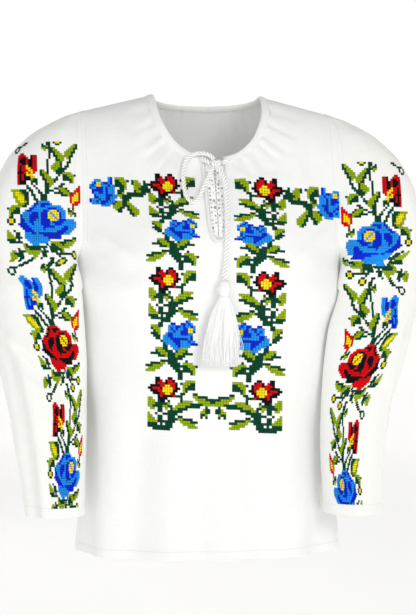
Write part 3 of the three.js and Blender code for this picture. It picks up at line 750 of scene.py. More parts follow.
def panelGrid(facing):
    size = panelSizes
    neck = np.linspace(0, 1, size["neckColumns"] + 1)
    outer = np.linspace(0, 1, size["outerColumns"] + 1)[1:]
    turn = mix(math.asin((slitTopHalf / neckX) ** 1.1), math.pi / 2, neck)
    beyond = mix(neckX, armholeX, outer)
    edgeX = np.concatenate([neckX * np.sin(turn) ** (1 / 1.1), beyond])
    evenX = np.concatenate([mix(slitTopHalf, neckX, neck), beyond])
    pull = np.concatenate([(1 - neck) ** 2, 0 * outer])
    centre = np.linspace(-1, 1, 7)[1:-1]
    hemRows = hemZ + np.array([size["hemTall"] + 2, size["hemTall"], size["hemTall"] - 2])
    steps = round((slitEndZ - hemRows[0]) / size["rowStep"])
    underSlit = np.linspace(slitEndZ, hemRows[0], steps)[1:]
    lower = np.concatenate([underSlit, hemRows[1:], [hemZ + 7, hemZ + 3, hemZ]])
    rows = []
    for k in [*np.linspace(0, 1, size["upperRows"]), *lower]:
        isUpper = k >= 0
        z = mix(topEdgeZ(facing, edgeX), slitEndZ, k) if isUpper else k + 0 * edgeX
        x = mix(edgeX, evenX, smooth(0, 0.6, k)) if isUpper else evenX
        half = slitTopHalf
        if facing < 0:
            x = x + (slitHalf(z) - slitTopHalf) * pull
            half = x[0]
        middle = centre * half
        middleZ = mix(topEdgeZ(facing, middle), slitEndZ, k) if isUpper else k + 0 * middle
        rows.append([np.concatenate([-x[::-1], middle, x]), np.concatenate([z[::-1], middleZ, z])])
    return np.array([r[0] for r in rows]), np.array([r[1] for r in rows]), len(centre)


def clothShell(name, outer, normal, uv, thickness, material, keep=None):  # both faces and the rims
    rows, cols = outer.shape[:2]
    cells = gridCells(rows, cols)
    keep = np.ones((rows - 1, cols - 1), bool) if keep is None else keep
    edge = np.pad(keep, 1)
    size = rows * cols
    faces = [cells[keep], cells[keep][:, ::-1] + size]
    for dr, dc, a, b in ((-1, 0, 0, 3), (1, 0, 2, 1), (0, -1, 1, 0), (0, 1, 3, 2)):
        open_ = keep & ~edge[1 + dr:rows + dr, 1 + dc:cols + dc]
        side = cells[open_]
        faces.append(np.stack([side[:, a], side[:, b], side[:, b] + size, side[:, a] + size], -1))
    points = np.concatenate([outer.reshape(-1, 3), (outer - normal * thickness).reshape(-1, 3)])
    uvs = np.concatenate([uv.reshape(-1, 2)] * 2)
    return makeMesh(name, points, np.vstack(faces).tolist(), uvs, materials=[material])


def gridNormal(grid):
    return unit(np.cross(np.gradient(grid, axis=0), np.gradient(grid, axis=1)))


def makePanel(name, facing, material):
    x, z, middle = panelGrid(facing)
    outer, _ = panelSurface(facing, x, z)
    normal = gridNormal(outer) * -facing
    across = arcLength(outer)
    uv = np.stack([across - across[:, across.shape[1] // 2][:, None], z], -1)
    keep = np.ones((x.shape[0] - 1, x.shape[1] - 1), bool)
    if facing < 0:
        first = (x.shape[1] - middle) // 2 - 1
        keep[:panelSizes["upperRows"] - 1, first:first + middle + 1] = False
    if facing > 0:
        outer, normal, uv = outer[:, ::-1], normal[:, ::-1], uv[:, ::-1]
    return clothShell(name, outer, normal, uv, panelSizes["thickness"], material, keep)


frontCloth = makePanel("front_cloth", -1, frontLinen)
backCloth = makePanel("back_cloth", 1, frontLinen)
print("front and back done")


# Sleeves

sleeveTable = {name: tableOf("z x y", rows) for name, rows in {
    "under": [(-36, 184, 0), (-60, 184, 0), (-100, 184, 0), (-150, 184, 0), (-205, 192, 0), (-285, 200, 0),
              (-340, 188, -6), (-400, 180, -14), (-501, 176, -34), (-600, 180, -56)],
    "lap": [(-36, 190, -20), (-60, 196, -42), (-100, 203, -60), (-150, 205, -74), (-205, 206, -83),
            (-285, 186, -86), (-340, 182, -86), (-400, 180, -86), (-501, 181, -90), (-600, 184, -98)],
    "front": [(-36, 198, -18), (-60, 216, -43), (-100, 238, -63), (-150, 248, -78), (-205, 250, -88),
              (-285, 226, -99), (-340, 219, -106), (-400, 213, -112), (-501, 208, -119), (-600, 206, -123)],
    "frontOuter": [(-36, 204, -10), (-60, 240, -31), (-100, 273, -50), (-150, 293, -64), (-205, 300, -72),
                   (-285, 290, -85), (-340, 281, -94), (-400, 268, -103), (-501, 249, -115), (-600, 237, -120)],
    "outer": [(-36, 207, 0), (-60, 251, 0), (-100, 290, -5), (-150, 311, -9), (-205, 320, -12),
              (-285, 321, -20), (-340, 312, -32), (-400, 299, -44), (-501, 278, -66), (-600, 260, -84)],
    "backOuter": [(-36, 204, 10), (-60, 240, 29), (-100, 273, 40), (-150, 291, 45), (-205, 298, 46),
                  (-285, 297, 43), (-340, 290, 29), (-400, 279, 14), (-501, 264, -14), (-600, 251, -46)],
    "back": [(-36, 198, 18), (-60, 216, 40), (-100, 238, 56), (-150, 246, 64), (-205, 248, 66),
             (-285, 246, 62), (-340, 242, 49), (-400, 237, 33), (-501, 232, 4), (-600, 227, -30)],
    "backLap": [(-36, 190, 20), (-60, 196, 40), (-100, 204, 57), (-150, 204, 64), (-205, 206, 66),
                (-285, 211, 48), (-340, 206, 38), (-400, 202, 22), (-501, 201, -6), (-600, 200, -36)],
}.items()}
leftArmDrift = tableOf("z inward forward", [
    (-205, 0, 0), (-285, 4, 2), (-350, 20, 12), (-501, 27, 17), (-600, 24, 24),
])
clearOfBody, pressRound = 1.8, 7
wristZ = -600
sleeveSizes = {"columns": 88, "rowStep": 3.9, "thickness": 0.9, "hemTall": 12}


def sleeveRing(side, z):  # drawn on the +X side, from the front armhole seam, or the underarm seam, all round
    drift = np.array([readTable(leftArmDrift, "inward", z), readTable(leftArmDrift, "forward", z), 0])
    drift = drift if side > 0 else 0 * drift
    knots = [np.array([readTable(t, "x", z), readTable(t, "y", z), z]) - drift for t in sleeveTable.values()]
    isOpen = z > underarmZ
    start = bodyPoint(-1, armholeX, z) if isOpen else knots[0]
    end = bodyPoint(1, armholeX, z) if isOpen else knots[0]
    ring = smoothLine([start, *knots[1:], end], 28)
    t = np.linspace(0, 24, len(ring))
    clear = np.minimum(clearOfBody, 0.3 * np.minimum(t, 24 - t)) if isOpen else clearOfBody
    bodyX = 0 * t
    for facing in (-1, 1):
        outline = bodyPoint(facing, armholeX * np.linspace(1, 0.4, 40), z)
        near = np.maximum(0, np.abs(ring[:, 1]) - clearOfBody)
        reach = np.interp(near, np.abs(outline[:, 1]), outline[:, 0], right=0)
        bodyX = np.where(ring[:, 1] * facing >= 0, reach, bodyX)
    other = bodyX + clear
    ease = 2 * clear if isOpen else pressRound
    ring[1:-1, 0] = ((ring[:, 0] + other + np.hypot(ring[:, 0] - other, ease)) / 2)[1:-1]
    s = arcLength(ring)
    at = np.linspace(0, s[-1], sleeveSizes["columns"] + 1)
    return np.stack([np.interp(at, s, ring[:, i]) for i in range(3)], -1)


def sleeveTop():  # the cap's first row, along the armhole over the shoulder tip
    depth = readTable(bodyDepths, "frontEdge", 5)
    share = np.linspace(-1, 1, sleeveSizes["columns"] + 1)
    return np.stack([armholeX + 0 * share, share * depth, shoulderTipZ - 5 * share**2], -1)


sleeveFolds = {  # across is a share of the way round, from the armhole or underarm seam past the front
    -1: [
        # the crisp edge where the forearm's front turns to its outer side
        (4.5, 7, 0.75, 0.3, 1.0, [(0.52, -282), (0.49, -312), (0.455, -338), (0.42, -366), (0.405, -392),
                                  (0.39, -440), (0.385, -500), (0.39, -602)]),
        (-6.5, 10, 1.2, 0.2, 0.8, [(0.55, -300), (0.50, -338), (0.455, -378), (0.445, -440), (0.44, -500),
                                   (0.445, -602)]),
        (3.0, 12, 1.0, 0.0, 1.0, [(0.53, -360), (0.51, -430), (0.51, -500), (0.52, -602)]),
        # creases of the bent elbow
        (-4.5, 8, 1.2, 0.8, 0.0, [(0.41, -378), (0.36, -402), (0.29, -430), (0.24, -450)]),
        (3.2, 9, 1.0, 0.6, 0.0, [(0.42, -352), (0.36, -376), (0.30, -402), (0.25, -420)]),
        (-3.0, 10, 1.0, 0.0, 0.0, [(0.40, -286), (0.34, -312), (0.28, -348)]),
        (2.4, 12, 1.0, 0.0, 0.0, [(0.44, -262), (0.38, -288), (0.31, -322)]),
        (-2.6, 9, 1.0, 0.0, 0.0, [(0.37, -470), (0.30, -492), (0.24, -506)]),
        # the outer side and the back
        (-7.0, 20, 1.0, 0.0, 0.3, [(0.64, -120), (0.65, -210), (0.62, -290)]),
        (5.0, 20, 1.0, 0.0, 0.0, [(0.55, -110), (0.56, -180), (0.56, -250)]),
        (-7.0, 16, 1.2, 0.0, 0.2, [(0.80, -150), (0.76, -240), (0.68, -330)]),
        (6.0, 13, 1.0, 0.0, 0.0, [(0.86, -250), (0.77, -310), (0.68, -362), (0.62, -384)]),
        (-8.0, 13, 0.9, 0.0, 0.0, [(0.91, -270), (0.81, -346), (0.70, -398), (0.62, -416)]),
        (5.0, 13, 1.0, 0.0, 0.0, [(0.88, -390), (0.76, -430), (0.64, -448)]),
        (-6.0, 13, 1.0, 0.0, 0.0, [(0.90, -430), (0.78, -470), (0.66, -482)]),
        (-5.0, 17, 1.0, 0.0, 1.0, [(0.68, -500), (0.69, -550), (0.69, -602)]),
        (-4.5, 15, 1.0, 0.0, 1.0, [(0.85, -506), (0.86, -550), (0.86, -602)]),
        (-3.0, 12, 1.0, 0.0, 1.0, [(0.27, -520), (0.27, -560), (0.26, -602)]),
    ],
    1: [
        (3.6, 7, 0.8, 0.1, 1.0, [(0.44, -296), (0.455, -340), (0.47, -386), (0.475, -440), (0.48, -502),
                                 (0.48, -602)]),
        (-6.5, 10, 1.2, 0.1, 0.8, [(0.50, -330), (0.52, -386), (0.53, -440), (0.54, -502), (0.54, -602)]),
        (6.0, 20, 1.0, 0.0, 0.0, [(0.58, -300), (0.575, -370), (0.58, -450)]),
        (-11.0, 8, 1.0, 0.0, 0.0, [(0.56, -272), (0.515, -306), (0.485, -334), (0.47, -358)]),  # a deep pinch
        (-3.2, 10, 1.0, 0.3, 0.0, [(0.44, -352), (0.37, -374), (0.30, -402)]),
        (2.6, 10, 1.0, 0.2, 0.0, [(0.43, -326), (0.36, -350), (0.29, -374)]),
        (-3.0, 10, 1.0, 0.2, 0.0, [(0.46, -412), (0.38, -440), (0.30, -460)]),
        (-2.4, 12, 1.0, 0.0, 0.0, [(0.40, -250), (0.33, -276), (0.27, -312)]),
        (-7.0, 20, 1.0, 0.0, 0.3, [(0.62, -130), (0.66, -220), (0.65, -290)]),
        (5.0, 20, 1.0, 0.0, 0.0, [(0.53, -90), (0.56, -170), (0.56, -240)]),
        (-7.0, 16, 1.0, 0.0, 0.2, [(0.82, -160), (0.77, -250), (0.70, -340)]),
        (6.0, 13, 1.0, 0.0, 0.0, [(0.88, -260), (0.79, -320), (0.69, -372), (0.64, -392)]),
        (-8.0, 13, 1.0, 0.0, 0.0, [(0.92, -290), (0.82, -356), (0.71, -408), (0.64, -424)]),
        (5.0, 12, 1.0, 0.0, 0.0, [(0.90, -400), (0.78, -440), (0.66, -460)]),
        (-6.0, 13, 1.0, 0.0, 0.0, [(0.90, -446), (0.80, -482), (0.68, -498)]),
        (-5.0, 17, 1.0, 0.0, 1.0, [(0.69, -510), (0.71, -550), (0.72, -602)]),
        (-4.5, 15, 1.0, 0.0, 1.0, [(0.87, -514), (0.87, -556), (0.87, -602)]),
        (-3.0, 12, 1.0, 0.0, 1.0, [(0.28, -516), (0.28, -560), (0.27, -602)]),
    ],
}


def sleeveGrid(side):
    guide = np.stack([readTable(sleeveTable["outer"], axis, np.linspace(-36, wristZ, 400)) for axis in "xy"]
                     + [np.linspace(-36, wristZ, 400)], -1)
    s = arcLength(guide)
    hem = [wristZ + sleeveSizes["hemTall"] + d for d in (2, 0, -2)] + [wristZ + 4, wristZ]
    at = np.linspace(0, np.interp(-hem[0], -guide[:, 2], s), round(s[-1] / sleeveSizes["rowStep"]))
    levels = [*np.interp(at, s, guide[:, 2]), *hem[1:]]
    rings = [sleeveRing(side, z) for z in levels]
    top = sleeveTop()
    cap = [mix(top, rings[0], k) for k in (0, 1 / 6, 2 / 6, 3 / 6, 4 / 6, 5 / 6)]
    base = np.array(cap + rings)
    base[..., 0] *= side
    levels = np.array([*(shoulderTipZ - np.arange(6) * 8 / 6), *levels])
    share = np.linspace(0, 1, base.shape[1])
    around = arcLength(base)[:, -1]
    across, z = share * around[:, None], base[..., 2]
    width = lambda at: np.interp(-at, -levels, around)
    folds = [(*fold[:5], [(t * width(at), at) for t, at in fold[5]]) for fold in sleeveFolds[side]]
    height = foldHeight(folds, across, z)
    height = height + 1.0 * softNoise(across, z * 0.8, 55, 21 + side)
    height = height + 0.3 * softNoise(across, z, 18, 25 + side)
    toSeam = np.minimum(across, around[:, None] - across)
    height = height * smooth(0, 16, toSeam) * smooth(0, 22, arcLength(base.transpose(1, 0, 2)).T)
    height = height + 0.8 * bell(toSeam - 4, 2.4) + 0.6 * smooth(wristZ + 13, wristZ + 11, z)
    normal = gridNormal(base) * side
    outer = base + normal * height[..., None]
    return outer, gridNormal(outer) * side, np.stack([across, z], -1), levels, around


sleeveSurfaces = {side: sleeveGrid(side) for side in (-1, 1)}


def makeSleeve(name, side):
    outer, normal, uv = sleeveSurfaces[side][:3]
    if side < 0:
        outer, normal, uv = outer[:, ::-1], normal[:, ::-1], uv[:, ::-1]
    return clothShell(name, outer, normal, uv, sleeveSizes["thickness"], sleeveLinenPaintedShade)


sleeveCloths = {-1: makeSleeve("sleeve_right_cloth", -1), 1: makeSleeve("sleeve_left_cloth", 1)}
print("sleeves done")


# The drawn neckline: a gathered casing for the tie cord

casing = {
    "height": 9,
    "thickness": 4.4,
    "gap": 0.5,
    "ease": 1.4,  # more gap over the shoulders
    "pucker": 0.55,
    "pleat": 5.5,  # from one gather to the next
}


def casingEdge(facing, q, grow):
    x = armholeX * q
    below = neckTopZ - necklineZ(facing, x)
    lower = 0 if facing < 0 else 20 * (grow - 1) * (1 - q)
    return bodyPoint(facing, x * grow, np.minimum(neckTopZ - below * grow - lower, ridgeZ(x * grow)))


def casingPath(grow):
    turn = np.linspace(math.asin((slitTopHalf / neckX) ** 1.1), math.pi / 2, 80)
    front = neckX * np.sin(turn) ** (1 / 1.1) / armholeX
    turn = np.linspace(math.pi / 2, 0, 80)[1:]
    back = neckX * np.sin(turn) ** (1 / 1.1) / armholeX
    half = np.vstack([casingEdge(-1, front, grow), casingEdge(1, back, grow)])
    half[0, 0] += 1
    return np.vstack([half, half[-2::-1] * [-1, 1, 1]])


def makeCasing():
    line, beyond = casingPath(1), casingPath(1.08)
    s = arcLength(line)
    at = np.linspace(0, s[-1], 300)
    resample = lambda path: np.stack([np.interp(at, s, path[:, i]) for i in range(3)], -1)
    line, beyond = resample(line), resample(beyond)
    along = unit(np.gradient(line, axis=0))
    for _ in range(3):
        along[1:-1] = unit(along[:-2] + along[1:-1] + along[2:])
    across = line - beyond
    across = unit(across - along * (across * along).sum(-1, keepdims=True))
    out = np.cross(along, across)
    size = casing
    upper = size["gap"] + size["ease"] * np.abs(line[:, :1] / neckX) ** 4 + size["height"]
    beat = at * 2 * math.pi / size["pleat"] + 2.2 * softNoise(at, 0 * at, 21, 4)
    strength = (0.6 + 0.5 * softNoise(at, 0 * at + 9, 16, 6))[:, None]
    a = np.arange(24) * 2 * math.pi / 24
    rounded = lambda v: np.sign(v) * np.abs(v) ** 0.62
    lower = -1.0
    reach = (upper - lower) / 2 + 0.35 * softNoise(at, 0 * at + 4, 7, 8)[:, None]
    u = (upper + lower) / 2 + reach * rounded(np.cos(a))
    pucker = size["pucker"] * strength * np.cos(beat[:, None] + 0.9 * np.sin(a)) * np.abs(np.sin(a))
    v = 1.2 - size["thickness"] / 2 + (size["thickness"] / 2 + pucker) * rounded(np.sin(a))
    stitched = -0.5 * (np.abs(np.cos(a) + 0.62) < 0.14)  # the row of stitches along its lower edge
    v = v + stitched * np.sign(np.sin(a))
    rings = line[:, None] + across[:, None] * u[..., None] + out[:, None] * v[..., None]
    points, faces, uv = tube(rings, at)
    return makeMesh("neck_casing_cloth", points, faces, uv, materials=[frontLinen], sharpAt=0)


# The front slit: an overcast roll round it and a lace strip on each side

slit = {
    "rollRadius": 2.2,
    "rollPitch": 7.5,
    "laceRows": 19,
    "laceThickness": 0.8,
    "laceHole": 0.27,  # of the smaller side of its cell
    "threadRadius": 0.33,
}


def trimLine():
    top, low = float(necklineZ(-1, 0)) - 2, slitEndZ + 8
    rows = [(float(slitHalf(z)) + 2.2, z, 2.9) for z in np.linspace(top, low, 7)]
    rows += [(6.6, slitEndZ - 1, 2.9), (0, slitEndZ - 4.5, 2.9)]
    return routed(rows + [(-x, z, off) for x, z, off in rows[-2::-1]], 0.6)


def lacePoint(side, u, v, off=0.0):  # u from the centre line to the slit's edge, v from the neckline down
    z = mix(topEdgeZ(-1, slitTopHalf), slitEndZ, v) - mix(1, -0.6, v)
    inner = 0.7 + 1.6 * (1 - smooth(0, 0.5, v))
    x = mix(inner, slitHalf(z) - 0.48, u)
    ripple = 0.35 * np.sin(v * 46 + 3 * u) * np.sin(u * 3.1)
    return bodyPoint(-1, side * x, z) - np.stack([0 * x, off + ripple, 0 * x], -1)


def ringOf(centre, radius, thread, sides=14):  # a small loop of yarn round a centre of (side, u, v)
    side, u, v, wide, tall = centre
    t = np.linspace(0, 2 * math.pi, sides + 1)
    line = lacePoint(side, u + radius * np.cos(t) / wide, v + radius * np.sin(t) / tall, 0.25)
    return sweep(line, roundSection(thread, 6))


def makeLace(name, side):  # the strip with its holes, and the yarn that lies on it
    rng = np.random.default_rng(30 + side)
    tall = float(topEdgeZ(-1, slitTopHalf)) - slitEndZ
    rows, thread = slit["laceRows"], slit["threadRadius"]
    a = np.arange(16) * math.pi / 8
    box = np.stack([np.cos(a), np.sin(a)], -1)
    box = box / np.abs(box).max(-1, keepdims=True) / 2
    sheet, yarn = [], []
    for i in range(rows):
        for j in range(2):
            v = (i + 0.5) / rows
            wide = float(np.linalg.norm(lacePoint(side, 1.0, v) - lacePoint(side, 0.0, v)))
            u = (j + 0.5) / 2
            cell = np.array([0.5, 1 / rows])
            radius = slit["laceHole"] * min(wide / 2, tall / rows) * (1.15 if (i + j) % 2 else 0.85)
            radius *= rng.uniform(0.3, 1.6)
            aside = rng.uniform(-1, 1, 2) * [0.06, 0.2 / rows]
            hole = aside + np.stack([np.cos(a) * radius / wide, np.sin(a) * radius / tall], -1)
            front = []
            for k in (0, 0.35, 1):
                p = np.array([u, v]) + mix(hole, box * cell, k)
                front.append(lacePoint(side, p[:, 0], p[:, 1], 0.25 * (k < 0.5)))
            front = np.array(front)
            rings = np.concatenate([front, front[::-1] + [0, slit["laceThickness"], 0]])
            faces = gridCells(6, 16, wrap=True).reshape(-1, 4)
            first, last = faces[:16, 0], faces[:16, 3]
            faces = np.vstack([faces, np.stack([first + 80, first, last, last + 80], -1)])
            faces = faces if side > 0 else faces[:, ::-1]
            sheet.append((rings.reshape(-1, 3), faces.tolist(), np.tile([[0.0, 0.0]], (96, 1))))
            yarn.append(ringOf((side, u + aside[0], v + aside[1], wide, tall), radius + 0.25, thread))
        z = lacePoint(side, 0.0, v)
        loop = min(1.15, abs(z[0]) * 0.85)
        yarn.append(ringOf((side, -0.3 * loop / wide, v, wide, tall), loop, thread * 0.9, 10))
    t = np.linspace(0.01, 0.99, rows * 10)
    for u, phase in ((0.5, 0.0), (0.5, math.pi), (0.97, 0.0)):
        line = lacePoint(side, u + 0.16 * np.cos(t * rows * math.pi + phase) * (u < 0.9), t, 0.45)
        yarn.append(sweep(line, roundSection(thread * 0.9, 6)))
    return [makeMesh(name + kind, *joined(parts), materials=[laceYarn], sharpAt=40)
            for kind, parts in (("_strip", sheet), ("_yarn", yarn))]


neckCasing = makeCasing()
slitRoll = makeRope("slit_trim_roll", trimLine(), slit["rollRadius"], slit["rollPitch"], 3, 0.7)
laceStrips, laceYarns = {}, {}
for side, name in ((-1, "lace_right"), (1, "lace_left")):
    laceStrips[side], laceYarns[name] = makeLace(name, side)
print("neck casing, slit roll and lace done")


# Cross-stitch charts: a column counts outward from the middle or from the band's inner edge, a row counts
# down, and flowers and leaves are written with their outer side first

def trail(chart, letter, thick, line):  # a stem along a line of (column, row)
    rows, cols = np.mgrid[:chart.shape[0], :chart.shape[1]] + 0.5
    for (x0, y0), (x1, y1) in zip(line, line[1:]):
        dx, dy = x1 - x0, y1 - y0
        if thick < 1.3:  # one stitch wide
            for t in np.linspace(0, 1, int(3 * math.hypot(dx, dy)) + 2):
                chart[int(y0 + t * dy), int(x0 + t * dx)] = threadLetters.index(letter)
            continue
        t = np.clip(((cols - x0) * dx + (rows - y0) * dy) / max(dx**2 + dy**2, 1e-6), 0, 1)
        off = np.hypot(cols - x0 - t * dx, rows - y0 - t * dy)
        chart[off < thick / 2] = threadLetters.index(letter)


def stamp(chart, picture, outer, top, turned=""):  # a motif in letters, its first column at the outer one
    rows = picture.split()
    rows = rows[::-1] if "down" in turned else rows
    for i, row in enumerate(rows):
        for j, letter in enumerate(row[::-1] if "aside" in turned else row):
            if letter != ".":
                chart[top + i, outer - j] = threadLetters.index(letter)


redFlower = """
...kk...kk... ...kkr.krrk.. ...krrrkrrrk. .kkkkrryyrrk. kkrrrkyyyyrkk .kkkrryyyykk. ..kkkrryyrk.. ....krkkkkr..
....kkkk..... .....kk......"""
blueFlower = """
.........db... ...dd..ddbdb.. ..bbbddbdbbdb. ..bdbdbbddyyb. ..bbdbbdddyyd. .bddbbbdddbb.. bbddbbbbbbbd..
bbbdddddddbd.. bbbbdddbbbdbb. .bbbbddbbbbddd ...bbbdbbbb... ....bbb......."""
armFlower = """
........bd.. ..bbb...bd.. .bdyybddbd.. bdbyybbbdbb. dbbdddbdbbb. .dddddbdbbb. .dbbddbdbbb. ..dbbbbdddbb
..ddbbbddbbb dbbbdbbddbb. dbbdbdddbbb. .bbbbddbbb.. .....bbbb..."""
rose = """
.........bbbbb............ .......ddbddddb........... ......bdbbddbbbbbbb....... .....ddbbbbbbddddbbb......
...bddbbbbbddbyyydbbb..... ..bbbbdddbdddybyyydbb..... .dbbbddddbdddyybyydbb..... .dbbbddddbdddyyybydbb.....
.ddbbdddbbddddyyybdddbbbb. .ddbbddbbbddddbdddddbbbbbb ddddbbdbbbddddbbdddbbbbbbb .ddddbbbbbbdddddbbbbddbbbb
..ddddbbbbbdbbbbbbbdddbbb. ...ddddbbbbbbbbbbddddbbb.. ...bbbddbdddddddddddbbb... ...bbbbbbbbdddddddd.......
...bbbbbbbbbbdddddd....... ....bbbbbbbbbb............ .....bbbbbbbb............. ......bbb................."""
tulip = """
.bb...... bbbb..dbb bbddb.dbb bdddbddbb bdddbddbb bbddbddbb bdbbyddbb bdbbyybbb bdbbbyybb dddbybyb. bdbdyyy..
bdbdddyy. bdbdddlgg bddd..ggg bddd....g"""
yellowBud = """
llllggg. .lyylggg .lyyylgg .llyyygg ..lyyygg ..llyylg ...lllgg ....lgg."""
lozenge = """
....r ...rr ..rrr .rryr rryyr ryyyr ryyyr ryrrr .rrr. .r..."""
smallBud = """
.gg. gyyg gyyg .gg."""
smallRing = """
.gg. g..g g..g .gg."""

leaves = {  # small two-toned leaves and buds, their outer side first
    "folded": "..llll glllgg .llggg .lgggg .lg...",
    "paired": "ll..g. lll.gg lllggg llgggg .ll.gg ....g.",
    "fan": "l..g... ll..gg. lll.gg. llllggg gggg.g. .gggggg",
    "slim": "gg...... llgggg.. .llllggg ..lllll. ....llll",
    "side": "lllgg glll. .gll. gggl. .ggg. ..gg.",
    "spread": "..lllg.. ..glllg. gggglllg ...ggglg",
    "bud": "g.g. ggl. llgg .l.g",
    "drop": "..llg .lllg llllg lllgg .lgg. ..gg.",
    "long": "gl.... gll... ggll.. .glll. .gglll ..glll ..ggll ...gl.",
}
vineLeaves = [  # one repeat of the front's columns: leaf, outer column, top row, which way it is turned over
    ("folded", 13, 1, ""),
    ("paired", 26, 8, ""),
    ("bud", 20, 9, ""),
    ("slim", 16, 9, "down"),
    ("fan", 26, 14, ""),
    ("slim", 14, 15, ""),
    ("side", 25, 22, ""),
    ("spread", 25, 31, ""),
    ("spread", 16, 31, "aside"),
    ("slim", 27, 36, "aside"),
    ("folded", 12, 37, "aside"),
]
vineStems = [  # thickness in stitches, line of (column, row)
    (1, [(12.5, 5.5), (13.5, 7.0), (17.0, 7.5)]),
    (1, [(13.5, 7.5), (13.0, 9.0), (12.0, 10.5)]),
    (1, [(22.0, 13.5), (20.0, 14.5), (18.5, 15.0)]),
    (3, [(14.5, 12.6), (17.5, 14.2), (18.0, 17.4)]),
    (2.2, [(18.0, 17.0), (19.4, 20.0)]),
    (1, [(20.5, 17.3), (18.0, 16.8)]),
    (1, [(15.4, 16.5), (17.5, 16.0)]),
    (1, [(19.0, 20.2), (21.5, 20.8), (22.5, 23.0)]),
    (1, [(22.5, 27.0), (21.5, 28.5), (19.5, 29.5)]),
    (2.2, [(20.4, 29.5), (20.2, 31.0), (19.2, 33.0)]),
    (3, [(18.4, 33.6), (16.5, 35.6), (15.8, 38.4)]),
    (2.2, [(15.8, 38.0), (14.4, 40.8), (14.0, 42.6)]),
    (1, [(12.5, 33.5), (13.5, 35.0), (15.5, 36.0)]),
    (1, [(11.5, 36.5), (12.5, 38.5), (15.0, 39.0)]),
    (1, [(21.0, 36.5), (18.0, 35.8)]),
    (1, [(18.5, 37.5), (16.5, 38.2)]),
]
armLeaves = [  # from the top flowers out to the blue ones near the armholes
    ("folded", 40, 2, "aside"),
    ("paired", 32, 3, ""),
    ("bud", 39, 7, ""),
    ("drop", 41, 12, ""),
    ("long", 36, 12, ""),
]
armStems = [
    (2, [(27.0, 7.2), (29.0, 7.6)]),
    (2.4, [(29.6, 8.4), (34.0, 8.8)]),
    (2.4, [(34.5, 9.0), (37.0, 12.4)]),
    (1, [(33.5, 3.5), (30.5, 7.5)]),
    (2, [(38.5, 5.0), (38.2, 8.6), (36.8, 11.6)]),
    (2, [(43.0, 12.2), (40.5, 13.2), (36.8, 13.2)]),
]
linkLeaves = [  # joins both columns under the opening
    ("slim", 8, 6, ""),
    ("bud", 5, 12, "down"),
]
linkStems = [
    (2, [(10.0, 11.5), (6.0, 10.5), (2.5, 9.4), (-0.6, 9.4)]),
    (1, [(3.0, 9.6), (3.5, 12.5)]),
    (1.4, [(26.7, 19.2), (24.4, 20.1), (20.9, 20.3), (18.0, 19.8), (17.4, 18.0)]),
]
sleeveLeaves = [  # one repeat of the sleeve's band, round its rose, buds and tulip
    ("folded", 32, 2, ""),
    ("fan", 32, 13, ""),
    ("folded", 26, 19, "down"),
    ("paired", 32, 21, "down"),
    ("fan", 22, 20, "down"),
    ("slim", 9, 16, "aside"),
    ("folded", 13, 18, "aside"),
    ("long", 6, 28, "aside"),
    ("long", 12, 30, ""),
    ("bud", 16, 28, ""),
    ("drop", 12, 37, ""),
    ("long", 17, 41, ""),
    ("folded", 7, 42, "aside"),
    ("spread", 11, 49, ""),
    ("bud", 5, 58, ""),
]
sleeveStems = [
    (1, [(28.0, 29.6), (25.5, 28.0), (22.5, 25.5)]),
    (1, [(15.5, 19.0), (14.0, 22.0), (12.0, 23.5), (10.0, 26.0)]),
    (1, [(12.5, 23.2), (8.0, 23.0), (4.0, 23.0)]),
    (1, [(15.0, 25.5), (13.0, 29.0), (13.5, 34.0), (14.5, 38.0), (14.0, 42.0)]),
    (1, [(4.0, 35.0), (6.0, 39.5), (9.0, 42.5), (12.0, 46.5), (15.0, 50.0)]),
    (1, [(21.5, 47.5), (18.5, 50.5), (16.0, 55.5)]),
    (1, [(23.5, 48.5), (21.0, 52.0), (19.0, 56.0)]),
    (2, [(15.0, 48.0), (15.5, 52.0), (17.0, 56.0)]),
    (1, [(7.0, 47.0), (10.0, 49.5), (14.5, 50.5)]),
]


def drawLeaves(chart, stems, placed, down=0, tall=999):  # what starts in the drawing's first so many rows
    for thick, line in stems:
        if line[0][1] < tall:
            trail(chart, "g", thick, [(x, y + down) for x, y in line])
    for name, outer, top, turned in placed:
        if top < tall:
            stamp(chart, leaves[name], outer, top + down, turned)


def frontHalfChart():
    chart = np.zeros((109, 54), int)
    for top in (0, 43, 86):
        drawLeaves(chart, vineStems, vineLeaves, top, 43 if top < 86 else 20)
        if top < 86:
            stamp(chart, blueFlower, 20, top + 20)
        else:
            drawLeaves(chart, linkStems, linkLeaves, top)
        stamp(chart, redFlower, 26, top)
    drawLeaves(chart, armStems, armLeaves)
    stamp(chart, armFlower, 51, 2)
    return chart


def sleeveUnitChart():
    chart = np.zeros((110, 33), int)
    drawLeaves(chart, sleeveStems, sleeveLeaves)
    stamp(chart, rose, 27, 0)
    for outer, top in ((32, 7), (5, 22), (11, 25)):
        stamp(chart, smallBud, outer, top)
    stamp(chart, smallRing, 31, 29)
    stamp(chart, tulip, 27, 33)
    stamp(chart, yellowBud, 30, 50)
    stamp(chart, lozenge, 4, 48)
    return np.where(chart[:55] > 0, chart[:55], np.roll(chart, -55, axis=0)[:55])


# Stitches: each is a raised bar of thread from one hole to another

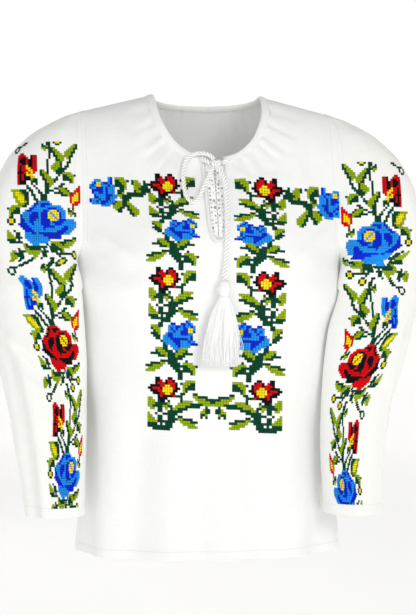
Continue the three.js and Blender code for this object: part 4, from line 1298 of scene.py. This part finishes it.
needlework = {
    "cell": 3.48,
    "strand": 0.145,  # half a strand's width, as a share of the stitch's length
    "apart": 0.115,  # how far a strand lies from the middle of its stitch, the same way
    "underLift": 0.42,
    "overLift": 0.88,
    "groundLift": 0.2,  # how high the dark sheet under the strands lies, in each stitch's thread colour: painted shade seen between them
    "groundShade": 0.34,
    "armStretch": {-1: 0.99, 1: 1.0},  # how much wider the stitches are on the arms across the chest
}
frontRows = {  # row, height, fall across, and how far aside and how wide each half's columns lie
    side: tableOf("row z tilt aside wide", rows) for side, rows in {
        -1: [(0, -126.7, 0.04, -0.8, 1), (10, -162, 0.04, -0.8, 1), (20, -190, 0.04, -0.8, 1),
             (32, -222.5, 0.04, -1.6, 1), (43, -259, 0.04, -3.6, 1), (63, -331, 0.04, -3.2, 1),
             (86, -410.2, 0.04, -3.2, 1), (109, -491, 0.04, -3.2, 1)],
        1: [(0, -126.7, 0.04, -4.0, 1.13), (10, -162, 0.04, -4.4, 1.13), (20, -190, 0.075, -5.0, 1.13),
            (32, -222.5, 0.075, -5.8, 1.125), (43, -259, 0.04, -6.4, 1.117), (63, -331, 0.04, -6.8, 1.117),
            (86, -410.2, 0.04, -10.6, 1.12), (109, -491, 0.04, -11.5, 1.12)],
    }.items()
}


def stitchParts(starts, ends, normals, halfWidth, lifts, bow=0.0):  # (points, faces, shade) of raised strands
    rng = np.random.default_rng(len(starts))
    along = ends - starts
    aside = unit(np.cross(normals, along)) * halfWidth * np.ones((len(starts), 1))
    lift = normals * (lifts * rng.uniform(0.9, 1.1, len(starts)))[:, None]
    base = 0.04 * normals
    corners = [(0, 0, 0), (0.22, 1, 0), (0.78, 1, 0), (1, 0, 0), (0.78, -1, 0), (0.22, -1, 0),
               (0.27, 0, 1), (0.73, 0, 1)]
    points = [starts + along * a + aside * (b + bow * (0 < a < 1)) + (lift if up else base)
              for a, b, up in corners]
    pattern = [(0, 6, 1), (1, 6, 7, 2), (2, 7, 3), (3, 7, 4), (4, 7, 6, 5), (5, 6, 0)]
    faces = [[i + 8 * n for i in face] for n in range(len(starts)) for face in pattern]
    # painted shade and highlight: each strand darker at its ends and sides, where it dips into the cloth, and
    # lighter along its top
    shade = np.tile([0.55, 0.66, 0.66, 0.55, 0.66, 0.66, 1.08, 1.08], len(starts))
    return np.stack(points, 1).reshape(-1, 3), faces, shade, len(pattern)


def makeEmbroidery(name, lattices):  # lattices of cell corners, each with its chart and which way is outward
    parts, start = [], 0
    size = needlework
    for grid, chart, outward in lattices:
        normal = gridNormal(grid) * outward
        i, j = np.argwhere(chart > 0).T
        colour = chart[i, j] - 1
        up = unit(normal[i, j] + normal[i + 1, j + 1])
        # a flat quad under each stitched cell, its thread colour darkened by groundShade: painted shade between
        # the strands
        raised = grid + size["groundLift"] * normal
        ground = [raised[i, j], raised[i + 1, j], raised[i + 1, j + 1], raised[i, j + 1]]
        cells = np.arange(4 * len(i)).reshape(-1, 4)[:, ::int(outward)]
        dark = np.full(4 * len(i), size["groundShade"])
        parts.append((np.stack(ground, 1).reshape(-1, 3), cells.tolist(), dark, 1, colour))
        rng = np.random.default_rng(len(i))
        for first, last, lift in (((i, j), (i + 1, j + 1), "underLift"),
                                  ((i, j + 1), (i + 1, j), "overLift")):
            starts, ends = (grid[at] + rng.uniform(-0.1, 0.1, (len(i), 3)) for at in (first, last))
            length = np.linalg.norm(ends - starts, axis=1, keepdims=True)
            for way in (-1, 1):
                bow = way * size["apart"] / size["strand"]
                made = stitchParts(starts, ends, up, length * size["strand"], 0 * i + size[lift], bow)
                parts.append((*made, colour))
    points, faces, shades, index = [], [], [], []
    for p, f, shade, each, colour in parts:
        points.append(p)
        faces += [[i + start for i in face] for face in f]
        shades.append(shade)
        index.append(np.repeat(colour, each))
        start += len(p)
    index, shades = np.concatenate(index), np.concatenate(shades)
    return makeMesh(name, np.vstack(points), faces, None, threads, index, 0, shades)


def laidOn(cloth, grid, outward):  # a lattice moved onto the cloth's outer face, higher where that bulges
    mesh = cloth.data
    tree = BVHTree.FromPolygons([v.co for v in mesh.vertices], [tuple(p.vertices) for p in mesh.polygons])

    def cast(points, normals):
        found = points.copy()
        for at in np.ndindex(points.shape[:2]):
            start, way = Vector((points[at] + 5 * normals[at]) * mm), Vector(-normals[at])
            hit = tree.ray_cast(start, way, 10 * mm)[0]
            if hit is not None:
                found[at] = np.array(hit) / mm
        return found

    corners = lambda field: (field[:-1, :-1] + field[1:, :-1] + field[1:, 1:] + field[:-1, 1:]) / 4
    normal = gridNormal(grid) * outward
    grid = cast(grid, normal)
    middle, up = corners(grid), unit(corners(normal))
    bulge = np.clip(((cast(middle, up) - middle) * up).sum(-1), 0, 1.6)
    around = np.pad(bulge, 1)
    lift = np.max([around[:-1, :-1], around[1:, :-1], around[1:, 1:], around[:-1, 1:]], axis=0)
    return grid + normal * lift[..., None]


def frontFields():
    chart, cell = frontHalfChart(), needlework["cell"]
    xs = np.linspace(0, armholeX, 185)
    across = arcLength(bodyPoint(-1, xs, -160 + 0 * xs))
    fields = []
    for side in (-1, 1):
        out = np.arange(chart.shape[1] + 1)
        out = out + np.maximum(0, out - 27) * (needlework["armStretch"][side] - 1)
        down = {key: readTable(frontRows[side], key, np.arange(chart.shape[0] + 1))[:, None]
                for key in ("z", "tilt", "aside", "wide")}
        x = down["aside"] + side * down["wide"] * np.interp(out * cell, across, xs)[None, :]
        z = down["z"] - down["tilt"] * x
        drawn = x
        for _ in range(4):  # the panel widens below the armholes, so x is worked back from the made one
            grid, _ = panelSurface(-1, drawn, z)
            drawn = drawn + x - grid[..., 0]
        fields.append((laidOn(frontCloth, grid, side), chart, side))
    return fields


def sleevePoint(side, s, z):  # on the sleeve's outer face, s from its front seam round
    outer, _, _, levels, around = sleeveSurfaces[side]
    row = np.interp(-z, -levels, np.arange(len(levels)))
    col = s / np.interp(row, np.arange(len(levels)), around) * (outer.shape[1] - 1)
    i = np.clip(row.astype(int), 0, len(levels) - 2)
    j = np.clip(col.astype(int), 0, outer.shape[1] - 2)
    f, g = (row - i)[..., None], (col - j)[..., None]
    return mix(mix(outer[i, j], outer[i, j + 1], g), mix(outer[i + 1, j], outer[i + 1, j + 1], g), f)


bandTops = {-1: -162.7, 1: -189.5}  # height of a blue rose's first row
bandRow = 3.164  # height of one row on the sleeves
bandFirst = -28  # the band begins under a rose and its leaves, which would lie over the shoulder
bandWide = 105
bandEdges = {  # below the armhole: height, how far aside the inner and the outer edge lie, 0 for full width
    -1: [(-228, 190, 0), (-242, 192, 0), (-258, 193, 289), (-276, 192, 282), (-298, 192, 277),
         (-329, 192, 265), (-352, 191, 254), (-367, 190, 248), (-384, 189, 241), (-411, 188, 236),
         (-453, 187, 235), (-500, 187, 232), (-600, 192, 225)],
    1: [(-228, 190, 0), (-242, 190, 0), (-258, 189, 281), (-276, 188, 278), (-308, 187, 271),
        (-343, 186, 266), (-361, 183, 257), (-382, 177, 243), (-410, 170, 229), (-436, 165, 216),
        (-459, 163, 209), (-486, 162, 203), (-600, 166, 200)],
}


def bandSpan(side, z):  # how far round the sleeve the band's two edges lie at heights
    rows = [(-30, 3, 3 + bandWide), (-215, 3, 3 + bandWide)]
    for height, inner, outer in bandEdges[side]:
        ring = sleeveRing(side, height)
        s, x = arcLength(ring), ring[:, 0]
        last = int(np.argmax(x > (outer or 240)))
        first = last - int(np.argmax(x[last::-1] < inner)) if (x[:last] < inner).any() else 1
        rows.append((height, max(3, s[first]), s[last] if outer else max(3, s[first]) + bandWide))
    span = tableOf("z inner outer", rows)
    return readTable(span, "inner", z), readTable(span, "outer", z)


def sleeveField(side):
    unit_ = sleeveUnitChart()
    swapped = np.array([0] + [threadLetters.index(c) for c in "glrkryk"])[unit_]
    rise = np.linspace(-110, -56, 60)  # over the shoulder, where the rows keep their distance along the cloth
    run = arcLength(sleevePoint(side, 0 * rise + bandWide / 2, rise))
    rows = np.arange(bandFirst, math.floor((bandTops[side] + 588) / bandRow) + 1)
    z = bandTops[side] - rows * bandRow
    z = np.where(z > rise[0], np.interp(z - rise[0], run, rise), z)
    inner, outer = bandSpan(side, z)
    s = inner[:, None] + (outer - inner)[:, None] * np.linspace(0, 1, unit_.shape[1] + 1)
    around = np.interp(-z, -sleeveSurfaces[side][3], sleeveSurfaces[side][4])
    grid = sleevePoint(side, s, z[:, None] + 0 * s)
    tall = len(unit_)
    chart = np.array([(unit_ if (r // tall) % 2 == 0 else swapped)[r % tall] for r in rows[:-1]])
    chart[s[:-1, 1:] > around[:-1, None] / 2 - 4] = 0
    return laidOn(sleeveCloths[side], grid, side), chart, side


def dashes(line, normals, pitch=3.3, length=2.5):  # a row of plain sewing stitches along a line
    s = arcLength(line)
    at = np.arange(2, s[-1] - length, pitch)
    place = lambda p, t: np.stack([np.interp(t, s, p[:, i]) for i in range(3)], -1)
    return place(line, at), place(line, at + length), unit(place(normals, at))


def makeSeams(name, lines):
    starts, ends, normals = (np.concatenate(part) for part in zip(*[dashes(*line) for line in lines]))
    lifts = 0 * starts[:, 0] + 0.22
    off = 0.05 * normals
    points, faces, shade, _ = stitchParts(starts + off, ends + off, normals, 0.28, lifts)
    return makeMesh(name, points, faces, materials=[sewingThread], sharpAt=0, shade=shade)


def panelLine(facing, x, z):
    x, z = np.broadcast_arrays(np.asarray(x, float), np.asarray(z, float))
    return panelSurface(facing, x, z)


def panelSeams(facing):
    across, down = np.linspace(-178, 178, 200), np.linspace(-48, hemZ + 4, 300)
    lines = [panelLine(facing, across, hemZ + panelSizes["hemTall"] - 1.6)]
    lines += [panelLine(facing, side * (armholeX - 7), down) for side in (-1, 1)]
    return lines


def sleeveSeams(side):
    outer, normal, _, levels, _ = sleeveSurfaces[side]
    row = int(np.argmin(np.abs(levels - (wristZ + sleeveSizes["hemTall"] + 2))))
    return [(outer[row], normal[row])] + [(outer[8:, column], normal[8:, column]) for column in (3, -4)]


embroideries = {
    "front_panel": makeEmbroidery("front_embroidery", frontFields()),
    "sleeve_right": makeEmbroidery("sleeve_right_embroidery", [sleeveField(-1)]),
    "sleeve_left": makeEmbroidery("sleeve_left_embroidery", [sleeveField(1)]),
}
seams = {
    "front_panel": makeSeams("front_seam_stitches", panelSeams(-1)),
    "back_panel": makeSeams("back_seam_stitches", panelSeams(1)),
    "sleeve_right": makeSeams("sleeve_right_seam_stitches", sleeveSeams(-1)),
    "sleeve_left": makeSeams("sleeve_left_seam_stitches", sleeveSeams(1)),
}
print("embroidery and seams done")


# Which fixed part each piece stands for, and the width, length and area of each piece's cloth

pieces = {  # node: piece, record slot
    "front_panel": (frontCloth, "linen"),
    "back_panel": (backCloth, "linen"),
    "sleeve_right": (sleeveCloths[-1], "linen"),
    "sleeve_left": (sleeveCloths[1], "linen"),
    "neck_casing": (neckCasing, "linen"),
    "lace_right": (laceStrips[-1], "lace"),
    "lace_left": (laceStrips[1], "lace"),
    "slit_trim": (slitRoll, "cord"),
    "tassel_head": (tasselHeadYarn, "cord"),
    "tassel_skirt": (tasselSkirtYarn, "cord"),
    **{node: (rope, "cord") for node, rope in ropes.items()},
}
for node, (piece, slot) in pieces.items():
    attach(piece, "root")
    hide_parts(node)
for extra in (*embroideries.values(), *seams.values(), *laceYarns.values()):
    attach(extra, "root")


def clothArea(piece):  # of one face of the cloth, in square metres
    return sum(face.area for face in piece.data.polygons) / 2


def declareCloth(node, width, length, area):
    area = min(area, width * length)


def declareGrid(node, outer):  # the width and length of the grid that a cloth was made from, and the cloth's area
    width, length = (float(arcLength(field)[:, -1].max()) * mm for field in (outer, outer.transpose(1, 0, 2)))
    declareCloth(node, width, length, clothArea(pieces[node][0]))


def declareStrip(node, length):  # its width is worked back from its area
    width = clothArea(pieces[node][0]) / (length * mm)
    declareCloth(node, width, length * mm, width * length * mm)


laceAt = np.linspace(0, 1, 20)
for node, facing in (("front_panel", -1), ("back_panel", 1)):
    declareGrid(node, panelSurface(facing, *panelGrid(facing)[:2])[0])
for node, side in (("sleeve_right", -1), ("sleeve_left", 1)):
    declareGrid(node, sleeveSurfaces[side][0])
    lace = node.replace("sleeve", "lace")
    inner, middle, outer = (lacePoint(side, 0 * laceAt + across, laceAt) for across in (0, 0.5, 1))
    width = np.linalg.norm(outer - inner, axis=-1)
    size = float(width.max()) * mm, float(arcLength(middle)[-1]) * mm
    declareCloth(lace, *size, size[0] * size[1])
declareStrip("neck_casing", float(arcLength(casingPath(1))[-1]))
